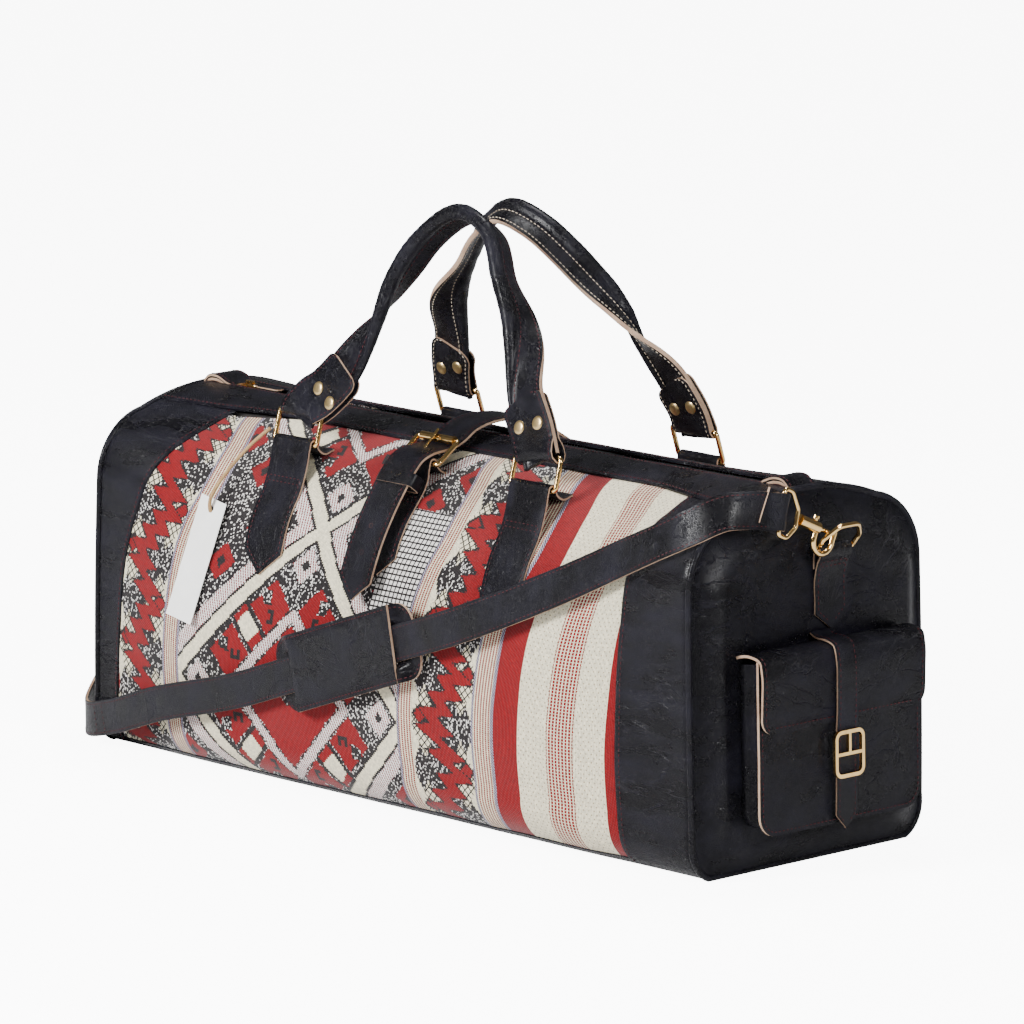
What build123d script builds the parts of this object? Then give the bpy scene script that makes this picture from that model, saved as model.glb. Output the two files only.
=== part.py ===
"""Leather and kilim travel bag: shell, zip, handles, closure strap, pockets and shoulder strap.

Frame: +X along the bag, -Y the front, +Z up. The origin is the middle of the base.
All sizes are in millimetres.
"""
import os
from math import cos, radians, sin, tan

from build123d import *

os.makedirs("parts", exist_ok=True)

# Body
HALF_LENGTH = 346.0
MIDDLE_HALF = 240.0
END_LEAN = 1.5
LEATHER = 3.0
CROWN_Z = 290.0
SEAM_Y = 48.0
BASE_SEAM_Z = 6.0
ZIP_SLOT_HALF = 8.0
KILIM_LEFT = -300.0
KILIM_RIGHT = 276.0
CLEAR = 0.3

# End panels
PIPING = 5.0
DOME = 12.0
DOME_INSET = 20.0

# Lining
LINING_HALF = 334.0
LINING_GAP = 5.2

# Zip
ZIP_HALF = 322.0
TEETH_HALF_WIDTH = 2.8
SLIDER_LENGTH = 16.0
SLIDER_WIDTH = 11.0
SLIDER_X = -298.0
PULLER_PIN = 1.2

# Handles and their rings
RING_X = 138.0
RING_Y = 92.0
RING_Z = 275.0
RING_WIRE = 4.0
RING_WIDTH = 50.0
RING_HEIGHT = 30.0
RING_CORNER = 3.0
TAB_WIDTH = 44.0
TAB_THICK = 2.4
TAB_TIP_Z = 172.0
HANDLE_THICK = 11.0
HANDLE_WIDTH = 38.0
RIVETS = (-137.0, -117.0, 123.0, 143.0)
RIVET_HEIGHT = 52.0
RIVET_RADIUS = 5.5
RIVET_THICK = 1.6
FRONT_APEX = (8.0, -42.0, 462.0)
REAR_APEX = (6.0, 28.0, 470.0)

# Closure strap
CLOSURE_WIDTH = 36.0
CLOSURE_X = -4.0

# Shoulder strap
SHOULDER_WIDTH = 29.0
SHOULDER_THICK = 3.0
PAD_LENGTH = 168.0
PAD_HEIGHT = 62.0

# End pockets
POCKET_WIDTH = 176.0
POCKET_BOTTOM = 35.0
POCKET_TOP = 172.0
POCKET_DEPTH = 24.0

# D-ring and hook
D_TAB_Y = 12.0
D_TAB_WIDTH = 34.0
D_FOLD_Z = 243.5
D_WIRE = 4.0
D_WIDTH = 36.0
D_HEIGHT = 27.0
HOOK_WIRE = 4.5


def keep(part, name):
    """Label a finished piece and write it."""
    part.label = name
    export_step(part, "parts/" + name + ".step")


def arc_normals(start, via, end):
    """Outward unit normals of the arc through three points, at each of them."""
    first, second, third = Vector(*start), Vector(*via), Vector(*end)
    with BuildLine(mode=Mode.PRIVATE):
        centre = ThreePointArc(first, second, third).arc_center
    middle = (second - (first + third) * 0.5).normalized()
    sign = 1 if (second - centre).dot(middle) > 0 else -1
    return [(point - centre).normalized() * sign for point in (first, second, third)]


def grown(side, amount):
    """Move a half-profile outwards by amount, each point along the outline's own normal."""
    base, *arcs = side
    starts = [base] + [end for via, end in arcs]
    normals = [arc_normals(start, via, end) for start, (via, end) in zip(starts, arcs)]
    moved = [(base[0], base[1] - amount)]
    for index, (via, end) in enumerate(arcs):
        if index + 1 < len(arcs):
            joint = (normals[index][2] + normals[index + 1][0]).normalized()
        else:
            joint = Vector(0, 1)
        new_via = Vector(*via) + normals[index][1] * amount
        new_end = Vector(*end) + joint * amount
        moved.append(((new_via.X, new_via.Y), (new_end.X, new_end.Y)))
    return moved


def outline(side):
    """Draw the closed cross-section of the bag from the given half-profile of arcs."""
    base, *arcs = side
    with BuildLine() as line:
        Line((-base[0], base[1]), (base[0], base[1]))
        for sign in (1, -1):
            start = base
            for via, end in arcs:
                ThreePointArc((sign * start[0], start[1]), (sign * via[0], via[1]),
                              (sign * end[0], end[1]))
                start = end
    return line.line


MIDDLE_SIDE = ((98, 0), ((123, 10), (136, 42)), ((140, 105), (124, 195)),
               ((106, 236), (80, 262)), ((44, 281), (0, CROWN_Z)))
END_SIDE = ((96, 0), ((117, 9), (124, 32)), ((125, 125), (124, 222)),
            ((112, 256), (80, 275)), ((42, 286), (0, CROWN_Z)))


def end_plane(side, height=0.0, out=0.0):
    """Plane of one end of the bag: x is front to back, y is up, z points outwards."""
    lean = radians(END_LEAN)
    z_dir = (side * cos(lean), 0, sin(lean))
    origin = Vector(side * HALF_LENGTH, 0, 0) + Vector(z_dir) * out
    plane = Plane(origin=origin, x_dir=(0, side, 0), z_dir=z_dir)
    return Plane(origin=plane.from_local_coords((0, height, 0)), x_dir=(0, side, 0), z_dir=z_dir)


def bag_solid(grow):
    """Loft the whole bag as one solid, with its skin moved outwards by grow."""
    stations = ((end_plane(1), END_SIDE), (Plane.YZ.offset(MIDDLE_HALF), MIDDLE_SIDE),
                (Plane.YZ.offset(-MIDDLE_HALF), MIDDLE_SIDE),
                (Plane(end_plane(-1).origin, x_dir=(0, 1, 0), z_dir=(cos(radians(END_LEAN)), 0,
                                                                    -sin(radians(END_LEAN)))),
                 END_SIDE))
    with BuildPart() as solid:
        for plane, side in stations:
            with BuildSketch(plane):
                make_face(outline(grown(side, grow)))
        loft(ruled=True)
    return solid.part


def slab(x_range, y_range, z_range):
    """A box given by its lowest and highest corner, outside any builder."""
    size = [high - low for low, high in (x_range, y_range, z_range)]
    centre = [(high + low) / 2 for low, high in (x_range, y_range, z_range)]
    return Pos(*centre) * Box(*size, mode=Mode.PRIVATE)


def layer(inner, outer):
    """Skin between two offsets of the bag's surface."""
    with BuildPart() as skin:
        add(bag_solid(outer))
        add(bag_solid(inner), mode=Mode.SUBTRACT)
    return skin.part


SHELL = layer(-LEATHER, 0)
FAR = 500.0


def shell_piece(name, skin, *boxes):
    """Cut one panel out of a skin: what lies inside any of the boxes."""
    with BuildPart() as panel:
        add(skin)
        with BuildPart(mode=Mode.PRIVATE) as region:
            for box in boxes:
                add(box)
        add(region.part, mode=Mode.INTERSECT)
    keep(panel.part, name)
    return panel.part


for name, y_range in (("front_kilim_panel", (-FAR, -SEAM_Y)), ("rear_kilim_panel", (SEAM_Y, FAR))):
    shell_piece(name, SHELL, slab((KILIM_LEFT, KILIM_RIGHT), y_range, (BASE_SEAM_Z, FAR)))
shell_piece("base_panel", SHELL, slab((-FAR, FAR), (-FAR, FAR), (-FAR, BASE_SEAM_Z)))
for name, x_range in (("left_end_bands", (-FAR, KILIM_LEFT)), ("right_end_bands", (KILIM_RIGHT, FAR))):
    shell_piece(name, SHELL, slab(x_range, (-FAR, -SEAM_Y), (BASE_SEAM_Z, FAR)),
                slab(x_range, (SEAM_Y, FAR), (BASE_SEAM_Z, FAR)))
for name, y_range in (("front_top_band", (-SEAM_Y, -ZIP_SLOT_HALF)),
                      ("rear_top_band", (ZIP_SLOT_HALF, SEAM_Y))):
    shell_piece(name, SHELL, slab((-FAR, FAR), y_range, (FAR / 3, FAR)))

# Lining: a thin bag inside the panels, open along the zip
with BuildPart() as lining:
    add(bag_solid(-LINING_GAP))
    add(slab((-LINING_HALF, LINING_HALF), (-FAR, FAR), (-FAR, FAR)), mode=Mode.INTERSECT)
    with BuildPart(mode=Mode.PRIVATE) as hollow:
        add(bag_solid(-LINING_GAP - 1))
        add(slab((1 - LINING_HALF, LINING_HALF - 1), (-FAR, FAR), (-FAR, FAR)), mode=Mode.INTERSECT)
    add(hollow.part, mode=Mode.SUBTRACT)
    add(slab((-FAR, FAR), (-18, 18), (FAR / 3, FAR)), mode=Mode.SUBTRACT)
keep(lining.part, "lining")

with BuildPart() as base_board:
    with BuildSketch(Plane.XY.offset(6.6)):
        RectangleRounded(630, 172, 18)
    extrude(amount=3.0)
keep(base_board.part, "base_board")

# Zip
TAPE_SKIN = layer(-4.4, -LEATHER - CLEAR)
shell_piece("zip_tapes", TAPE_SKIN,
            slab((-ZIP_HALF, ZIP_HALF), (-17.5, -TEETH_HALF_WIDTH - 0.2), (FAR / 3, FAR)),
            slab((-ZIP_HALF, ZIP_HALF), (TEETH_HALF_WIDTH + 0.2, 17.5), (FAR / 3, FAR)))
with BuildPart() as zip_teeth:
    with BuildSketch(Plane.YZ.offset(-ZIP_HALF)):
        with Locations((0, CROWN_Z - 3.6)):
            Rectangle(2 * TEETH_HALF_WIDTH, 3.0)
    extrude(amount=2 * ZIP_HALF)
keep(zip_teeth.part, "zip_teeth")

SLIDER_Z = CROWN_Z - 1.8
with BuildPart() as zip_slider:
    with BuildSketch(Plane.XY.offset(SLIDER_Z)):
        with Locations((SLIDER_X, 0)):
            RectangleRounded(SLIDER_LENGTH, SLIDER_WIDTH, 3)
    extrude(amount=2.2)
    with BuildSketch(Plane.XZ.offset(-1.5)):
        with Locations((SLIDER_X + 1, SLIDER_Z + 2.6)):
            Rectangle(9, 9.2)
            Rectangle(5, 5.6, mode=Mode.SUBTRACT)
    extrude(amount=3.0)
    add(slab((SLIDER_X - 6, SLIDER_X + 8), (-2, 2), (SLIDER_Z - 4, SLIDER_Z)), mode=Mode.SUBTRACT)
keep(zip_slider.part, "zip_slider")

# Two dangling puller strips on one small ring through the slider's bridge
PULLER_Z = SLIDER_Z + 3.6
with BuildPart() as zip_puller:
    with BuildSketch(Plane.XY.offset(PULLER_Z - 0.9)):
        with Locations((SLIDER_X + 6.3, 0)):
            RectangleRounded(13.0, 8.4, 2.5)
            RectangleRounded(9.4, 4.8, 1.4, mode=Mode.SUBTRACT)
        with Locations((SLIDER_X + 26, 0)):
            RectangleRounded(27.5, 8, 3)
    extrude(amount=1.8)
    with BuildSketch(Plane.XZ.offset(-3.0)):
        with Locations((SLIDER_X + 0.7, PULLER_Z)):
            Circle(PULLER_PIN)
    extrude(amount=6.0)
keep(zip_puller.part, "zip_puller")

with BuildPart() as zip_end_tabs:
    for side in (-1, 1):
        with BuildSketch(Plane.XZ.offset(-14)):
            with BuildLine():
                start = (side * (ZIP_HALF - 14), CROWN_Z + 0.4)
                tip = (side * (HALF_LENGTH - 8), CROWN_Z + 0.4)
                ThreePointArc(start, (side * (ZIP_HALF - 1), CROWN_Z + 9), tip)
                Line(tip, start)
            make_face()
        extrude(amount=28)
keep(zip_end_tabs.part, "zip_end_tabs")

# Handle ring tabs: pointed leather strips down the kilim, folded round the lower ring bar
TAB_LAYER = layer(CLEAR, CLEAR + TAB_THICK)


def wire_loop(radius, points, corners):
    """Closed round wire bent along a loop of points, with one bend radius or one for each."""
    with BuildLine() as path:
        FilletPolyline(*points, radius=corners, close=True)
    start = path.line @ 0
    direction = path.line % 0
    with BuildPart() as bar:
        with BuildSketch(Plane(origin=start, z_dir=direction)):
            Circle(radius)
        sweep(path=path.line)
    return bar.part


def folded_tab(name, x_centre, bar, foot, width, tip_z, slot=0.0):
    """Pointed strip down the bag's side, folded round a bar given as (y, z) and sewn at its foot."""
    inner = RING_WIRE / 2 + CLEAR
    outer = inner + TAB_THICK
    front = 1 if bar[0] > 0 else -1
    half = width / 2
    with BuildPart() as tab:
        add(TAB_LAYER)
        add(slab((x_centre - half, x_centre + half), sorted((front * 50, front * 170)), (tip_z, foot[1])),
            mode=Mode.INTERSECT)
        for edge in (-1, 1):
            with BuildSketch(Plane.XZ):
                with BuildLine():
                    side = x_centre + edge * half
                    Polyline((side + edge, tip_z - 1), (side + edge, tip_z + half), (side, tip_z + half),
                             (x_centre, tip_z), (x_centre, tip_z - 1), close=True)
                make_face()
            extrude(amount=FAR, both=True, mode=Mode.SUBTRACT)
        with BuildSketch(Plane.YZ.offset(x_centre - half)):
            with BuildLine():
                Line(bar, foot)
            trace(line_width=2 * outer - 1.4)
            with Locations(bar):
                Circle(outer)
        extrude(amount=width)
        add(bag_solid(CLEAR), mode=Mode.SUBTRACT)
        with BuildSketch(Plane.YZ.offset(x_centre - half)):
            with Locations(bar):
                Circle(inner)
        extrude(amount=width, mode=Mode.SUBTRACT)
        if slot:
            add(slab((x_centre - slot, x_centre + slot), sorted((bar[0] - 8, bar[0] + 8)),
                     (bar[1] - 3, bar[1] + 8)), mode=Mode.SUBTRACT)
    keep(tab.part, name)


def handle_plane(front):
    """Plane of one handle: x along the bag, y up the leaning arch from the ring bars."""
    apex = FRONT_APEX if front < 0 else REAR_APEX
    up = Vector(0, apex[1] - front * RING_Y, apex[2] - RING_Z).normalized()
    return Plane(origin=(0, front * RING_Y, RING_Z), x_dir=(1, 0, 0), z_dir=Vector(1, 0, 0).cross(up))


def handle(front):
    """Arched handle, with a folded eye round each ring's upper bar."""
    plane = handle_plane(front)
    apex = FRONT_APEX if front < 0 else REAR_APEX
    top = Vector(0, apex[1] - front * RING_Y, apex[2] - RING_Z).length
    eye = RING_HEIGHT - RING_WIRE
    inner = RING_WIRE / 2 + CLEAR
    half = HANDLE_THICK / 2
    with BuildPart() as arch:
        with BuildSketch(plane.offset(-half)):
            with BuildLine():
                Line((-RING_X, eye), (-RING_X, eye + 7))
                Spline((-RING_X, eye + 7), (-110, eye + 42), (-62, eye + 92), (-24, eye + 150),
                       (apex[0], top - 6), (62, eye + 142), (98, eye + 94), (124, eye + 44),
                       (RING_X, eye + 7), tangents=((0, 1), (0, -1)))
                Line((RING_X, eye + 7), (RING_X, eye))
            trace(line_width=HANDLE_WIDTH)
        extrude(amount=HANDLE_THICK)
        eye_centre = plane.from_local_coords((0, eye, 0))
        for x_centre in (-RING_X, RING_X):
            with BuildSketch(Plane.YZ.offset(x_centre - TAB_WIDTH / 2)):
                with Locations((eye_centre.Y, eye_centre.Z)):
                    Circle(half)
            extrude(amount=TAB_WIDTH)
            with BuildSketch(Plane.YZ.offset(x_centre - TAB_WIDTH / 2)):
                with Locations((eye_centre.Y, eye_centre.Z)):
                    Circle(inner)
            extrude(amount=TAB_WIDTH, mode=Mode.SUBTRACT)
    with BuildPart() as rivets:
        for x_rivet in RIVETS:
            for face in (1, -1):
                origin = plane.from_local_coords((x_rivet, RIVET_HEIGHT, face * (half + 0.05)))
                with BuildSketch(Plane(origin=origin, z_dir=plane.z_dir * face)):
                    Circle(RIVET_RADIUS)
                extrude(amount=RIVET_THICK)
    return arch.part, rivets.part


for front, word in ((-1, "front"), (1, "rear")):
    plane = handle_plane(front)
    for side, hand in ((-1, "left"), (1, "right")):
        folded_tab(word + "_" + hand + "_ring_tab", side * RING_X, (front * RING_Y, RING_Z),
                   (front * 80.5, 263.5), TAB_WIDTH, TAB_TIP_Z)
        corners = [plane.from_local_coords((side * RING_X + x, y, 0)) for x, y in
                   ((RING_WIDTH / 2, 0), (RING_WIDTH / 2, RING_HEIGHT - RING_WIRE),
                    (-RING_WIDTH / 2, RING_HEIGHT - RING_WIRE), (-RING_WIDTH / 2, 0))]
        keep(wire_loop(RING_WIRE / 2, corners, RING_CORNER), word + "_" + hand + "_ring")
    arch, rivets = handle(front)
    keep(arch, word + "_handle")
    keep(rivets, word + "_handle_rivets")

# Closure strap: over the zip from the rear, under the roller, over the chape bar and down the front
ROLLER = (-60.0, 292.0)
CHAPE_BAR = (-82.0, 276.0)
FRAME_HALF = 23.0
with BuildPart() as closure_strap:
    with BuildSketch(Plane.YZ.offset(CLOSURE_X - CLOSURE_WIDTH / 2)):
        with BuildLine():
            FilletPolyline((108, 241), (97, 255), (60, 281), (26, 299), (0, 302.5), (-32, 300), (-57, 286.3),
                           (-89, 282.8), (-118, 243), (-136, 200), (-144, 170), radius=6)
        trace(line_width=LEATHER)
    extrude(amount=CLOSURE_WIDTH)
    add(bag_solid(CLEAR), mode=Mode.SUBTRACT)
    for edge in (-1, 1):
        with BuildSketch(Plane.XZ):
            with BuildLine():
                Polyline((CLOSURE_X, 166), (CLOSURE_X + edge * 20, 166), (CLOSURE_X + edge * 20, 192),
                         (CLOSURE_X + edge * CLOSURE_WIDTH / 2, 192), (CLOSURE_X, 170), close=True)
            make_face()
        extrude(amount=FAR, both=True, mode=Mode.SUBTRACT)
    add(slab((CLOSURE_X - 2.6, CLOSURE_X + 2.6), (-86, -56), (270, 300)), mode=Mode.SUBTRACT)
keep(closure_strap.part, "closure_strap")

folded_tab("closure_chape", CLOSURE_X, CHAPE_BAR, (-76.0, 267.0), CLOSURE_WIDTH, 190.0, slot=2.6)
frame_corners = [Vector(CLOSURE_X + side * FRAME_HALF, *bar)
                 for side, bar in ((1, ROLLER), (-1, ROLLER), (-1, CHAPE_BAR), (1, CHAPE_BAR))]
keep(wire_loop(RING_WIRE / 2, frame_corners, RING_CORNER), "closure_buckle_frame")

with BuildPart() as closure_roller:
    for x_start in (CLOSURE_X + 2.0, CLOSURE_X - 19.0):
        with BuildSketch(Plane.YZ.offset(x_start)):
            with Locations(ROLLER):
                Circle(3.5)
                Circle(RING_WIRE / 2 + CLEAR, mode=Mode.SUBTRACT)
        extrude(amount=17.0)
keep(closure_roller.part, "closure_roller")

with BuildPart() as closure_prong:
    with BuildSketch(Plane(origin=(CLOSURE_X, -81.5, 279.8), z_dir=(0, 20.5, 18.6))):
        Circle(1.2)
    extrude(amount=29.0)
keep(closure_prong.part, "closure_prong")

with BuildPart() as closure_keeper:
    with BuildSketch(Plane(origin=(CLOSURE_X, -103.9, 258.3), x_dir=(1, 0, 0), z_dir=(0, 30, 39.6))):
        Rectangle(CLOSURE_WIDTH + 5, 14.5)
        Rectangle(CLOSURE_WIDTH + 1, 11.5, mode=Mode.SUBTRACT)
    extrude(amount=11)
    add(bag_solid(CLEAR + TAB_THICK + 0.1), mode=Mode.SUBTRACT)
keep(closure_keeper.part, "closure_keeper")

# Ends of the bag: piping hoop, domed panel, pocket, D-ring and hook
PLATEAU = PIPING + DOME
FRONT_FACE = POCKET_DEPTH
FLAP_FACE = FRONT_FACE + CLEAR + 2.2
STRAP_FACE = FLAP_FACE + CLEAR + 2.4
BUCKLE_WIRE = 3.0
POCKET_STRAP = 22.0


def end_hoop(side, name):
    """Corded piping round one end of the bag."""
    with BuildPart() as piping:
        with BuildSketch(end_plane(side)):
            make_face(outline(grown(END_SIDE, 2.2)))
            make_face(outline(grown(END_SIDE, -2.6)), mode=Mode.SUBTRACT)
        extrude(amount=PIPING)
        add(slab((-FAR, FAR), (-FAR, FAR), (-FAR, 0)), mode=Mode.SUBTRACT)
    keep(piping.part, name + "_piping")


def end_panel(side, name):
    """Domed leather panel that closes one end of the bag."""
    with BuildPart() as panel:
        for low, high, shrink, mode in ((PIPING, PLATEAU, 0.0, Mode.ADD),
                                        (PIPING - 0.01, PLATEAU - LEATHER, 3.2, Mode.SUBTRACT)):
            with BuildSketch(end_plane(side, 0, low)):
                make_face(outline(grown(END_SIDE, -shrink)))
            with BuildSketch(end_plane(side, 0, high)):
                make_face(outline(grown(END_SIDE, -DOME_INSET - shrink)))
            loft(ruled=True, mode=mode)
    keep(panel.part, name + "_end_panel")


def pocket(side, name):
    """Flap pocket on one end: gusset, front, flap, strap and buckle."""
    base = end_plane(side, 0, PLATEAU + CLEAR)
    middle = (POCKET_TOP + POCKET_BOTTOM) / 2
    height = POCKET_TOP - POCKET_BOTTOM
    with BuildPart() as gusset:
        with BuildSketch(base):
            with Locations((0, middle)):
                RectangleRounded(POCKET_WIDTH - 8, height - 4, 16)
                RectangleRounded(POCKET_WIDTH - 12.4, height - 8.4, 14, mode=Mode.SUBTRACT)
            with Locations((0, POCKET_TOP)):
                Rectangle(POCKET_WIDTH, 24, mode=Mode.SUBTRACT)
        extrude(amount=FRONT_FACE - 2.2)
    keep(gusset.part, name + "_pocket_gusset")
    with BuildPart() as front:
        with BuildSketch(base.offset(FRONT_FACE - 2.2)):
            with Locations((0, middle)):
                RectangleRounded(POCKET_WIDTH, height - 2, 18)
        extrude(amount=2.2)
    keep(front.part, name + "_pocket_front")
    with BuildPart() as flap:
        with BuildSketch(base):
            with Locations((0, POCKET_TOP + CLEAR + 1.1)):
                Rectangle(POCKET_WIDTH, 2.2)
        extrude(amount=FLAP_FACE)
        with BuildSketch(base.offset(FRONT_FACE + CLEAR)):
            with Locations((0, (POCKET_TOP + 115) / 2)):
                RectangleRounded(POCKET_WIDTH, POCKET_TOP - 115, 14)
            with Locations((0, POCKET_TOP - 10)):
                Rectangle(POCKET_WIDTH, 2 * (10 + CLEAR + 1.1))
        extrude(amount=2.2)
    keep(flap.part, name + "_pocket_flap")
    with BuildPart() as strap:
        with BuildSketch(base):
            with Locations((0, POCKET_TOP + 2 * CLEAR + 3.4)):
                Rectangle(POCKET_STRAP, 2.4)
        extrude(amount=STRAP_FACE)
        with BuildSketch(base.offset(FLAP_FACE + CLEAR)):
            with BuildLine():
                half = POCKET_STRAP / 2
                top = POCKET_TOP + 2 * CLEAR + 4.6
                Polyline((half, top), (half, 42), (0, 31), (-half, 42), (-half, top), close=True)
            make_face()
        extrude(amount=2.4)
    keep(strap.part, name + "_pocket_strap")
    with BuildPart() as buckle:
        with BuildSketch(base.offset(STRAP_FACE + CLEAR)):
            with Locations((0, 90)):
                RectangleRounded(32, 37, 7)
                RectangleRounded(32 - 2 * BUCKLE_WIRE, 37 - 2 * BUCKLE_WIRE, 4, mode=Mode.SUBTRACT)
                Rectangle(28, 2.6)
                with Locations((0, 9)):
                    Rectangle(2.6, 16)
        extrude(amount=BUCKLE_WIRE)
    keep(buckle.part, name + "_pocket_buckle")


def d_ring(side, name, ring_lean):
    """D-ring in its stitched leather tab, leaning out from the end panel."""
    base = end_plane(side, 0, PLATEAU + CLEAR)
    x_tab = side * D_TAB_Y
    depth = 4.6
    half = D_TAB_WIDTH / 2
    tip = D_FOLD_Z - 62.0
    with BuildPart() as tab:
        with BuildSketch(base):
            with BuildLine():
                Polyline((x_tab - half, D_FOLD_Z), (x_tab - half, tip + 14), (x_tab, tip),
                         (x_tab + half, tip + 14), (x_tab + half, D_FOLD_Z), close=True)
            make_face()
        extrude(amount=3.4)
        fold_plane = Plane(origin=base.from_local_coords((x_tab - half, D_FOLD_Z, depth)), x_dir=base.y_dir,
                           z_dir=base.x_dir)
        with BuildSketch(fold_plane):
            Circle(D_WIRE / 2 + CLEAR + 1.8)
        extrude(amount=D_TAB_WIDTH)
        with BuildSketch(fold_plane):
            Circle(D_WIRE / 2 + CLEAR)
        extrude(amount=D_TAB_WIDTH, mode=Mode.SUBTRACT)
    keep(tab.part, name + "_d_ring_tab")
    up = base.y_dir * cos(radians(ring_lean)) + base.z_dir * sin(radians(ring_lean))
    centre = base.from_local_coords((x_tab, D_FOLD_Z, depth))
    half_bar = half + 3.0
    shape = ((half_bar, 0), (half_bar, 14), (10, D_HEIGHT), (-10, D_HEIGHT), (-half_bar, 14), (-half_bar, 0))
    corners = [centre + base.x_dir * x + up * y for x, y in shape]
    keep(wire_loop(D_WIRE / 2, corners, [3, 9, 9, 9, 9, 3]), name + "_d_ring")


def snap_hook(name, plane, eye_x):
    """Swivel snap hook: x runs from the strap's eye to the hook, which bends towards -y."""
    with BuildPart() as hook:
        with BuildSketch(Plane(origin=plane.from_local_coords((5.2, 0, 0)), z_dir=plane.x_dir)):
            Circle(4.6)
        extrude(amount=21.8)
        with BuildLine() as path:
            points = [plane.from_local_coords(point) for point in
                      ((26, -3.6, 0), (26, -8, 0), (36, -18, 0), (46, -8, 0), (46, 2, 0))]
            Line(points[0], points[1])
            ThreePointArc(points[1], plane.from_local_coords((36 - 7.07, -15.07, 0)), points[2])
            ThreePointArc(points[2], plane.from_local_coords((36 + 7.07, -15.07, 0)), points[3])
            Line(points[3], points[4])
        with BuildSketch(Plane(origin=points[0], z_dir=-plane.y_dir)):
            Circle(HOOK_WIRE / 2)
        sweep(path=path.line)
        with BuildSketch(Plane(origin=plane.from_local_coords((13.5, 0, 0)), z_dir=plane.x_dir)):
            Circle(2.25)
        extrude(amount=29.9, mode=Mode.SUBTRACT)
        add(slab_at(plane, (13, 24.5), (2, 6), (-1.4, 1.4)), mode=Mode.SUBTRACT)
    keep(hook.part, name + "_snap_hook")
    with BuildPart() as bolt:
        with BuildSketch(Plane(origin=plane.from_local_coords((20.4, 0, 0)), z_dir=plane.x_dir)):
            Circle(1.9)
        extrude(amount=22.8)
        add(slab_at(plane, (20.6, 23.4), (0, 8), (-1.1, 1.1)))
        with BuildSketch(Plane(origin=plane.from_local_coords((22, 6.0, 0)), z_dir=plane.y_dir)):
            Circle(2.6)
        extrude(amount=2.0)
    keep(bolt.part, name + "_hook_bolt")
    half = (SHOULDER_WIDTH + 7) / 2
    eye_corners = [plane.origin + plane.x_dir * x + eye_x * y for x, y in
                   ((2.0, -7), (2.0, 7), (-7, half), (-16, half), (-16, -half), (-7, -half))]
    with BuildPart() as eye:
        add(wire_loop(1.75, eye_corners, [5, 5, 5, 3, 3, 5]))
    keep(eye.part, name + "_strap_eye")


def slab_at(plane, x_range, y_range, z_range):
    """A box given by its ranges in a plane's own axes, outside any builder."""
    size = [high - low for low, high in (x_range, y_range, z_range)]
    centre = [(high + low) / 2 for low, high in (x_range, y_range, z_range)]
    return plane * Pos(*centre) * Box(*size, mode=Mode.PRIVATE)


HOOKS = {
    "right": (Plane(origin=(369.5, -37.7, 275.9), x_dir=(0, 0.914, -0.405), z_dir=(1, 0, 0)),
              Vector(0, 0.2, 0.98)),
    "left": (Plane(origin=(-395.6, 12.0, 195.8), x_dir=(0.5, 0, 0.866), z_dir=(0, 1, 0)),
             Vector(0, 1, 0)),
}
RING_LEANS = {"right": 40.0, "left": 118.0}
for side, name in ((1, "right"), (-1, "left")):
    end_hoop(side, name)
    end_panel(side, name)
    pocket(side, name)
    d_ring(side, name, RING_LEANS[name])
    snap_hook(name, *HOOKS[name])

# Shoulder strap: stations of centre and outward face direction, from the right hook to the left one
STRAP_ROUTE = (
    ((368.2, -55.8, 283.0), (1.0, -0.1, 0.0)), ((361.5, -78.0, 285.5), (0.9, -0.4, 0.2)),
    ((353.0, -97.0, 285.0), (0.6, -0.7, 0.4)), ((333.0, -113.0, 273.0), (0.25, -0.9, 0.35)),
    ((299.0, -121.0, 256.0), (0.0, -0.93, 0.3)), ((207.0, -135.0, 211.0), (0.0, -1.0, 0.12)),
    ((110.0, -150.5, 169.0), (0.0, -1.0, 0.0)), ((-140.0, -150.5, 81.0), (0.0, -1.0, 0.0)),
    ((-250.0, -148.0, 51.0), (0.0, -1.0, 0.0)), ((-310.0, -142.0, 31.0), (0.0, -1.0, 0.0)),
    ((-350.0, -133.0, 22.0), (-0.3, -0.95, 0.0)), ((-374.0, -113.0, 23.0), (-0.7, -0.7, 0.0)),
    ((-391.0, -84.0, 36.0), (-0.9, -0.4, 0.0)), ((-399.0, -50.0, 61.0), (-1.0, -0.1, 0.0)),
    ((-402.0, -20.0, 96.0), (-1.0, 0.0, 0.0)), ((-404.0, 0.0, 132.0), (-1.0, 0.0, 0.0)),
    ((-404.0, 12.0, 164.0), (-1.0, 0.0, 0.1)), ((-402.6, 12.0, 180.6), (-1.0, 0.0, 0.4)),
)
with BuildPart() as shoulder_strap:
    for index, (centre, face) in enumerate(STRAP_ROUTE):
        before = Vector(*STRAP_ROUTE[max(index - 1, 0)][0])
        after = Vector(*STRAP_ROUTE[min(index + 1, len(STRAP_ROUTE) - 1)][0])
        along = (after - before).normalized()
        across = Vector(*face).cross(along).normalized()
        with BuildSketch(Plane(origin=centre, x_dir=across, z_dir=along)):
            Rectangle(SHOULDER_WIDTH, SHOULDER_THICK)
    loft(ruled=True)
    for name in ("right", "left"):
        plane, eye_x = HOOKS[name]
        centre = plane.origin - plane.x_dir * 16
        tube = Plane(origin=centre - eye_x * SHOULDER_WIDTH / 2, z_dir=eye_x)
        with BuildSketch(tube):
            Circle(4.6)
        extrude(amount=SHOULDER_WIDTH)
    for name in ("right", "left"):
        plane, eye_x = HOOKS[name]
        tube = Plane(origin=plane.origin - plane.x_dir * 16 - eye_x * SHOULDER_WIDTH / 2, z_dir=eye_x)
        with BuildSketch(tube):
            Circle(1.75 + CLEAR)
        extrude(amount=SHOULDER_WIDTH, mode=Mode.SUBTRACT)
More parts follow.
